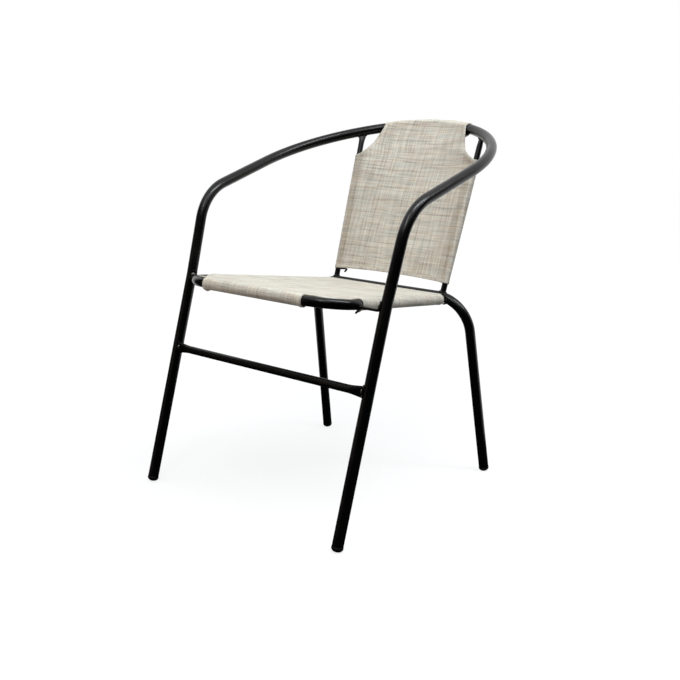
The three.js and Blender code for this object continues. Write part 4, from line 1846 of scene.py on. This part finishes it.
    def free_edges(self, panel: Array, flap: Array) -> list:
        """The rear edge, and each side's edge round the flap's end and along the notch.

        Args:
            panel: The panel's points.
            flap: The flap's points.

        Returns:
            The edges.
        """
        edges = [Edge.of(panel[-1], panel[-2], self.normal)]
        for last, inner in ((-1, -2), (0, 1)):
            line, beside = (np.concatenate((flap[k, FLAP_HEM_POINTS - 1::-1],
                                            panel[1:self.rows[0], k])) for k in (last, inner))
            outwards = (line - place(0, self.rail.depth, self.rail.height)) * (0, 1, 1)
            outwards[FLAP_HEM_POINTS:] = self.normal
            edges.append(Edge.of(line, beside, outwards))
        return edges

    def seam_lines(self, depth: Array) -> list:
        """The seams of the right sleeve, the left sleeve and the flap.

        Args:
            depth: Depths along the sleeves' seams.

        Returns:
            For each its line and the next line inwards.
        """
        lines = []
        for which in Side:
            x = which.value * (self.rail.half_span(depth) - self.seam_inset)
            lines.append((self.panel(x, depth), self.panel(x - which.value, depth)))
        end = self.flap_half - self.seam_margin
        x = np.linspace(-end, end, self.seam_steps)
        seam = np.full_like(x, self.start + self.seam_inset)
        return [*lines, (self.panel(x, seam), self.panel(x, seam + 1))]

    def build(self) -> list:
        """The cloth, its hems, its stitches and its shade tail.

        Returns:
            The pieces.
        """
        notch, middle, rest = self.rows
        sleeve = np.linspace(self.side_start, self.side_end, middle)
        depth = np.concatenate((np.linspace(self.start, self.side_start, notch), sleeve[1:],
                                np.linspace(self.side_end, self.end, rest)[1:]))
        x = self.half(depth)[:, None] * np.linspace(-1, 1, self.columns + 1)
        depths = np.broadcast_to(depth[:, None], x.shape)
        panel, flap = self.panel(x, depths), self.flap()
        cut = Cut(panel=panel, flat=np.stack((x, depths), -1), rows=depth, flap=flap,
                  across=x[0], start=self.start, way=-1, side=self.side(sleeve),
                  out=self.rail.half_span(sleeve), sleeve=sleeve,
                  length=self.end - self.start + run_lengths(flap)[0, -1])
        return self.hang("seat", cut, self.seam_lines(panel[notch:1 - rest, 0, 1]), ["seat_rail"])


@dataclass(kw_only=True)
class BackSling(Sling):
    """The back cloth: its flap goes over the hoop and its sleeves on the posts, in mm."""

    post: BackPost
    allowance: float = 9.0
    foot_rise: float = 30.0
    sleeve_length: float = 277.0
    hem_rise: float = 5.0
    flap_half: float = 113.0
    flap_shift: float = -5.0
    flap_drop: float = 32.0
    notch_corner: tuple = (130.0, 320.0)
    notch_steps: int = 30
    shift_rise: float = 40.0
    held_power: int = 8
    # Reach and fade of the painted shade where the posts and the hoop lie behind the cloth.
    shade_fade: float = 16.0
    post_shade: tuple = (8.0, 12.0)
    hoop_shade: tuple = (14.0, 0.6)
    seam_margins: tuple = (4.0, 6.0)
    # Line of the back's painted-shade tail, by distances from the left post and down from the hem.
    shade_tail_line: tuple = ((0.0, 1.4), (14.0, 1.9), (28.0, 1.7), (32.0, 3.0), (30.5, 5.5),
                         (27.0, 9.4))
    columns: int = 84
    rows: int = 58
    seam_steps: int = 60

    def __post_init__(self) -> None:
        """Works out the panel's own axes, its limits and the line of its notches.

        The notch is a parabola (1 - t)^2 a + 2 t (1 - t) b + t^2 c from the sleeve to the hoop.
        """
        self.run = self.post.head - self.post.foot
        self.rise = math.hypot(self.run[1], self.run[2])
        self.up = place(0, self.run[1], self.run[2]) / self.rise
        self.normal = place(0, -self.up[2], self.up[1])
        self.base = self.post.foot * (0, 1, 1)
        self.radius = self.round_tube(self.post.stock)
        self.hoop_radius = self.round_tube(self.hoop.stock)
        self.sleeve_end = self.foot_rise + self.sleeve_length
        head = self.height(self.hoop_at(np.array(self.flap_half)))
        start = np.array((self.post_at(self.sleeve_end)[0], self.sleeve_end))
        end = np.array((self.flap_half, head))
        t = np.linspace(0, 1, self.notch_steps)[:, None]
        self.notch = (1 - t) ** 2 * start + 2 * t * (1 - t) * self.notch_corner + t ** 2 * end
        self.notch_top = head - self.foot_rise

    def height(self, places: Array) -> Array:
        """How far up the panel places are, from the posts' feet."""
        return (places - self.base) @ self.up

    def post_at(self, height: Array) -> Array:
        """Places on the right post's axis at heights up the panel."""
        return self.post.foot + self.run * np.asarray(height / self.rise)[..., None]

    def tube_at(self, points: Array) -> Array:
        """The right post's centre beside points."""
        return self.post_at(self.height(points))

    def hoop_at(self, x: Array) -> Array:
        """Places on the hoop's axis at distances from the chair's middle."""
        return self.hoop.route.at(0, np.abs(x)) * (0, 1, 1) + x[..., None] * place(1, 0, 0)

    def half(self, height: Array) -> Array:
        """Half the panel's width: to the post's axis, and above the sleeves to the notch."""
        notch = np.interp(height, self.notch[:, 1], self.notch[:, 0])
        return np.where(height <= self.sleeve_end, self.post_at(height)[..., 0], notch)

    def tangent(self, x: Array) -> tuple:
        """Where the panel touches the hoop: place + r n, with n square to the hoop.

        The panel's depth is a parabola that leaves the hoop at the slope 2 b / t, with b the
        depth and t the height at the hoop, so n and b are worked out in turns until they agree.

        Args:
            x: Distances from the middle.

        Returns:
            The hoop's places, the normals there, the directions over the hoop, and the touch
            points' heights over the bottom edge and depths before the posts' sleeves.
        """
        centre = self.hoop_at(x)
        heading = unit(self.hoop_at(x + 1) - self.hoop_at(x - 1))
        slope = np.zeros_like(x)
        for _ in range(4):
            normal = np.cos(slope)[..., None] * self.normal + np.sin(slope)[..., None] * self.up
            square = (normal * heading).sum(-1, keepdims=True)
            normal = unit(normal - square * heading)
            touch = centre + self.hoop_radius * normal - self.base
            top = touch @ self.up - self.foot_rise
            bowl = touch @ self.normal - self.radius
            slope = np.arctan(-2 * bowl / top)
        over = np.cross(heading, normal)
        over = over * np.sign((over * self.up).sum(-1, keepdims=True))
        return centre, normal, over, top, bowl

    def panel(self, x: Array, share: Array) -> Array:
        """Places on the panel's middle surface.

        It runs from the bottom edge to the hoop, up by f + t s and forward by l + b s^2, with s
        the share of the height, t the height at the hoop and b the depth there. The bottom
        edge rises in the middle by h (1 - a^2), with a the share of the half width. Above the
        sleeves the cloth eases sideways to where the flap lies.

        Args:
            x: Distances from the middle of the chair.
            share: Shares of the height.

        Returns:
            The places.
        """
        height = self.foot_rise + share * self.notch_top
        across = np.clip(x / self.half(height), -1, 1)
        past = smooth((height - self.sleeve_end) / self.shift_rise)
        shifted = x + self.flap_shift * past
        centre, normal, _, top, bowl = self.tangent(shifted)
        touch_x = centre[..., 0] + self.hoop_radius * normal[..., 0]
        held = 1 - np.abs(across) ** self.held_power * (1 - past)
        hem = self.hem_rise * (1 - across ** 2) * (1 - share)
        sideways = shifted + (touch_x - shifted) * share ** 2 * held
        upwards = (self.foot_rise + top * share * held + self.notch_top * share * (1 - held) + hem)
        forward = self.radius + bowl * share ** 2 * held
        return (self.base + place(1, 0, 0) * sideways[..., None] + self.up * upwards[..., None]
                + self.normal * forward[..., None])

    def strip(self, across: Array, down: Array) -> Array:
        """The shade tail's line, by distances from the left post and down from the hem."""
        x = across - self.half(self.foot_rise)
        return self.panel(x, np.zeros_like(x)) - down[:, None] * self.up

    def flap(self, x: Array) -> Array:
        """The flap over the hoop.

        Args:
            x: Distances of its columns from the middle.

        Returns:
            Its points, columns across by points round it.
        """
        centre, normal, over, top, _ = self.tangent(x + self.flap_shift)
        seam, end = (self.panel(x, 1 - drop / top)
                     for drop in (self.flap_drop, self.flap_drop + self.allowance))
        return self.wrapped(centre, over, normal, self.hoop_radius, seam, end)

    def side(self, height: Array) -> Array:
        """The right post's sleeve.

        Args:
            height: Heights of its sections up the panel.

        Returns:
            Its points, sections up the post by points round it.
        """
        out = np.cross(unit(self.run), self.normal)
        centre = self.post_at(height)
        share = (height - self.foot_rise) / self.notch_top
        inner = centre[:, 0] - self.seam_inset
        return self.wrapped(centre, out * np.sign(out[0]), self.normal, self.radius,
                            self.panel(inner, share), self.panel(inner - self.allowance, share))

    def free_edges(self, panel: Array, flap: Array) -> list:
        """The bottom edge, and each side's edge along the notch and round the flap's end.

        Args:
            panel: The panel's points.
            flap: The flap's points.

        Returns:
            The edges.
        """
        edges = [Edge.of(panel[0], panel[1], self.normal)]
        for last, inner in ((-1, -2), (0, 1)):
            line, beside = (np.concatenate((panel[self.rows - 1:-1, k],
                                            flap[k, :FLAP_HEM_POINTS])) for k in (last, inner))
            outwards = line - self.hoop_at(line[:, 0])
            outwards[:-FLAP_HEM_POINTS] = self.normal
            edges.append(Edge.of(line, beside, outwards))
        return edges

    def seam_lines(self) -> list:
        """The seams of the right sleeve, the left sleeve and the flap.

        Returns:
            For each its line and the next line inwards.
        """
        lines = []
        low, side = self.seam_margins
        height = np.linspace(self.foot_rise + low, self.sleeve_end - low, self.seam_steps)
        share = (height - self.foot_rise) / self.notch_top
        for which in Side:
            x = which.value * (self.half(height) - self.seam_inset)
            lines.append((self.panel(x, share), self.panel(x - which.value, share)))
        x = np.linspace(side - self.flap_half, self.flap_half - side, self.seam_steps)
        top = self.height(self.hoop_at(x)) - self.foot_rise
        return [*lines, tuple(self.panel(x, 1 - drop / top)
                              for drop in (self.flap_drop, self.flap_drop + 1))]

    def tube_shade(self, panel: Array, x: Array, height: Array) -> Array:
        """How much painted shade darkens the panel where a tube lies behind it, by distance from
        the tubes.

        Args:
            panel: The panel's points.
            x: Their places across the flat cloth.
            height: Heights of its rows up the panel.

        Returns:
            Shares from 0 to 1.
        """
        post_reach, post_fade = self.post_shade
        hoop_reach, hoop_share = self.hoop_shade
        from_post = np.abs(x) - self.half(height)[:, None]
        beside = smooth(1 + (from_post + post_reach) / self.shade_fade)
        below = smooth((self.sleeve_end + post_fade - height)[:, None] / post_fade)
        from_hoop = self.height(panel) - self.height(panel[-1])
        top = smooth(1 + (from_hoop + hoop_reach) / self.shade_fade)
        return np.maximum(beside * below, hoop_share * top)

    def build(self) -> list:
        """The cloth, its hems, its stitches and its shade tail.

        Returns:
            The pieces.
        """
        sleeve = np.linspace(self.foot_rise, self.sleeve_end, self.rows)
        height = np.concatenate((sleeve, self.notch[1:, 1]))
        x = self.half(height)[:, None] * np.linspace(-1, 1, self.columns + 1)
        share = (height - self.foot_rise) / self.notch_top
        panel, flap = self.panel(x, np.broadcast_to(share[:, None], x.shape)), self.flap(x[-1])
        top = self.height(panel[-1])
        cut = Cut(panel=panel, flat=np.stack((x, self.height(panel)), -1), rows=height,
                  flap=flap, across=x[-1], start=top[:, None], way=1, side=self.side(sleeve),
                  out=self.half(sleeve), sleeve=sleeve,
                  length=top.max() - self.foot_rise + run_lengths(flap)[:, -1].mean(),
                  tube_shade=self.tube_shade(panel, x, height))
        return self.hang("back", cut, self.seam_lines(), ["arm_hoop", "post_right", "post_left"])


@dataclass(frozen=True)
class Softbox:
    """A flat studio lamp: its place, target, size, power, colour and turn about its axis."""

    name: str
    stand: tuple
    target: tuple
    size: tuple
    power: float
    colour: str
    turn: float = 0.0
    in_gloss: bool = True

    def build(self) -> None:
        """Makes the lamp, its face towards the target."""
        light = bpy.data.lights.new(self.name, "AREA")
        light.shape = "RECTANGLE"
        light.size, light.size_y = self.size
        light.energy = self.power
        light.color = linear(self.colour)[:3]
        lamp = put(self.name, light)
        lamp.visible_glossy = self.in_gloss
        lamp.location = self.stand
        away = Vector(self.stand) - Vector(self.target)
        facing = away.to_track_quat("Z", "Y").to_matrix()
        lamp.rotation_euler = (facing @ Matrix.Rotation(self.turn, 3, "Z")).to_euler()


@dataclass(frozen=True)
class Studio:
    """White floor, soft light and the photograph's camera, in metres and radians."""

    floor_size: float = 60.0
    floor_colour: str = "#7c7c7c"
    floor_glow: tuple = (0.81, 0.97)
    floor_reach: tuple = (0.6, 3.5)
    sky_level: float = 0.15
    card_reach: float = 1.1
    card_top: float = 1.25
    card_lift: float = 0.003
    card_spread: tuple = (math.radians(-108.0), math.radians(88.0))
    card_steps: int = 96
    disc_reach: float = 0.62
    card_colour: str = "#080808"
    camera_place: tuple = (1.1678, -1.51056, 0.7135)
    camera_turn: float = math.radians(37.9)
    camera_pitch: float = math.radians(12.06)
    camera_roll: float = math.radians(2.39)
    focal_length: float = 47.25
    film_width: float = 36.0
    lamps: tuple = (
        Softbox("ceiling", (0.0, 0.0, 3.0), (0, 0, 0), (4.5, 4.5), 99.0, "#eef9ff",
                in_gloss=False),
        Softbox("side_strip", (1.34, 0.39, 2.3), (1.34, 0.39, 0), (2.4, 0.27), 42.0, "#f1f6fb",
                math.radians(48.6)),
        Softbox("front_strip", (0.6, -1.5, 2.3), (0.6, -1.5, 0), (1.6, 0.25), 16.5, "#f4f5f8",
                math.radians(-48.6)),
        Softbox("front", (-0.9, -1.6, 0.75), (0, -0.3, 0.43), (0.9, 0.9), 6.0, "#ffe7d6"),
    )

    def backdrop_ray(self, add: Callable) -> Node:
        """Tells the rays that see the backdrop's own level from those that it lights.

        Args:
            add: Adds a node to its tree.

        Returns:
            A node that is 1 for rays of the camera and for mirror and see-through rays, else 0.
        """
        path = add("LightPath").outputs
        seen = add("Math.MAXIMUM", (path["Is Camera Ray"], path["Is Glossy Ray"]))
        return add("Math.MAXIMUM", (seen, path["Is Transmission Ray"]))

    def stage(self, name: str, points: Array, material: Material, unseen: tuple = ()) -> None:
        """Adds a grid of quads that belongs to the studio.

        Args:
            name: Its name.
            points: Rows by columns by 3, in metres.
            material: Its material.
            unseen: The kinds of ray that pass it by.
        """
        numbers = np.arange(points[..., 0].size).reshape(points.shape[:2])
        quads = np.stack((numbers[:-1, :-1], numbers[1:, :-1], numbers[1:, 1:],
                          numbers[:-1, 1:]), -1)
        mesh = bpy.data.meshes.new(name)
        mesh.from_pydata(points.reshape(-1, 3).tolist(), [], quads.reshape(-1, 4).tolist())
        mesh.validate()
        mesh.materials.append(material)
        thing = put(name, mesh)
        for ray in unseen:
            setattr(thing, f"visible_{ray}", False)
        thing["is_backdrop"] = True

    def build_floor(self) -> None:
        """A white floor that glows just enough to lose its edge and keeps a faint shadow.

        Its glow is drawn from a near level to a far one by the distance from the chair.
        """
        material, add, shader = new_material("StudioPaper")
        nodes = material.node_tree.nodes
        nodes.remove(shader)
        where = add("TexCoord").outputs["Object"]
        reach = add("VectorMath.LENGTH", (where,)).outputs["Value"]
        glow = add("MapRange", (reach, *self.floor_reach, *self.floor_glow))
        level = add("Math.MULTIPLY", (self.backdrop_ray(add), glow))
        both = add("AddShader", (
            add("BsdfDiffuse", {"Color": linear(self.floor_colour)}),
            add("Emission", {"Color": (1, 1, 1, 1), "Strength": level})))
        plug(nodes["Material Output"], {"Surface": both})
        x, y = np.meshgrid((-1, 1), (1, -1))
        self.stage("floor", np.stack((x, y, 0 * x), -1) * self.floor_size / 2, material)

    def build_card(self) -> None:
        """A black card that only reflections see, so that the tubes stay black in front.

        It lies under the whole chair, goes on in front of it and stands up there. Each row of
        points is (r cos a, r sin a, z), with a up to a spread to each side of the camera, and
        the lying disc's rim r is the smaller of the two reaches outside that spread.
        """
        angle = np.linspace(-math.pi, math.pi, self.card_steps + 1)
        front = (angle >= self.card_spread[0]) & (angle <= self.card_spread[1])
        rim = np.where(front, self.card_reach, self.disc_reach)
        top = np.where(front, self.card_top, self.card_lift)
        low = np.full_like(angle, self.card_lift)
        angle = angle + self.camera_turn - math.pi / 2
        points = np.stack([np.stack((r * np.cos(angle), r * np.sin(angle), z), -1)
                           for r, z in ((0, low), (rim, low), (rim, top))])
        material, _, shader = new_material("BlackCard")
        plug(shader, {"Base Color": linear(self.card_colour), "Roughness": 1.0})
        self.stage("card", points, material, ("camera", "diffuse", "transmission", "shadow"))

    def build_sky(self) -> None:
        """White where the camera and reflections see it, and a plain level for its light."""
        world = bpy.data.worlds.new("Studio")
        world.use_nodes = True
        add = partial(add_node, world.node_tree)
        level = add("Math.MULTIPLY_ADD", (self.backdrop_ray(add),
                                          1 - self.sky_level, self.sky_level))
        plug(world.node_tree.nodes["Background"], {"Color": (1, 1, 1, 1), "Strength": level})
        bpy.context.scene.world = world

    def build_camera(self) -> None:
        """The camera, turned about the vertical, pitched down and rolled about its own axis."""
        camera = bpy.data.cameras.new("camera")
        camera.lens = self.focal_length
        camera.sensor_width = self.film_width
        camera.clip_end = self.floor_size
        holder = put("camera", camera)
        turn = (Matrix.Rotation(self.camera_turn, 4, "Z")
                @ Matrix.Rotation(math.pi / 2 - self.camera_pitch, 4, "X")
                @ Matrix.Rotation(self.camera_roll, 4, "Z"))
        holder.matrix_world = Matrix.Translation(self.camera_place) @ turn
        bpy.context.scene.camera = holder

    def build(self) -> None:
        """The whole studio, seen through the Standard view."""
        self.build_floor()
        self.build_card()
        self.build_sky()
        for lamp in self.lamps:
            lamp.build()
        self.build_camera()
        bpy.context.scene.view_settings.view_transform = "Standard"


def main() -> None:
    """Builds the chair's parts in order, then the studio."""
    logging.basicConfig(level=logging.INFO, format="%(message)s")
    hoop = ArmHoop()
    rear = RearLegs()
    rail = SeatRail(hoop, rear)
    post = BackPost(hoop, rear)
    tab = LegTab()
    stretcher = Stretcher(hoop, tab)
    bracket = SeatBracket(hoop, rail, tab)
    screw = TabScrew(hoop, tab)
    pieces = [*hoop.build(), *rear.build(), *rail.build(), *post.build(), *stretcher.build(),
              *bracket.build(), *screw.build("stretcher", stretcher.height),
              *screw.build("bracket", bracket.screw_height)]
    pieces += WeldBeads().build([(rail.end_ring(), rail.route.headings[-1]),
                                 (post.outer[0], -post.up), (post.outer[-1], post.up)])
    pieces += SeatSling(hoop=hoop, rail=rail, rear=rear, bracket=bracket).build()
    pieces += BackSling(hoop=hoop, post=post).build()
    for piece in pieces:
        LOG.info("%s: %d faces", piece.name, len(piece.data.polygons))
    Studio().build()
    boxes = [np.asarray(box).tolist() for box in (CAD_BOUNDS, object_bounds())]


if __name__ == "__main__":
    main()
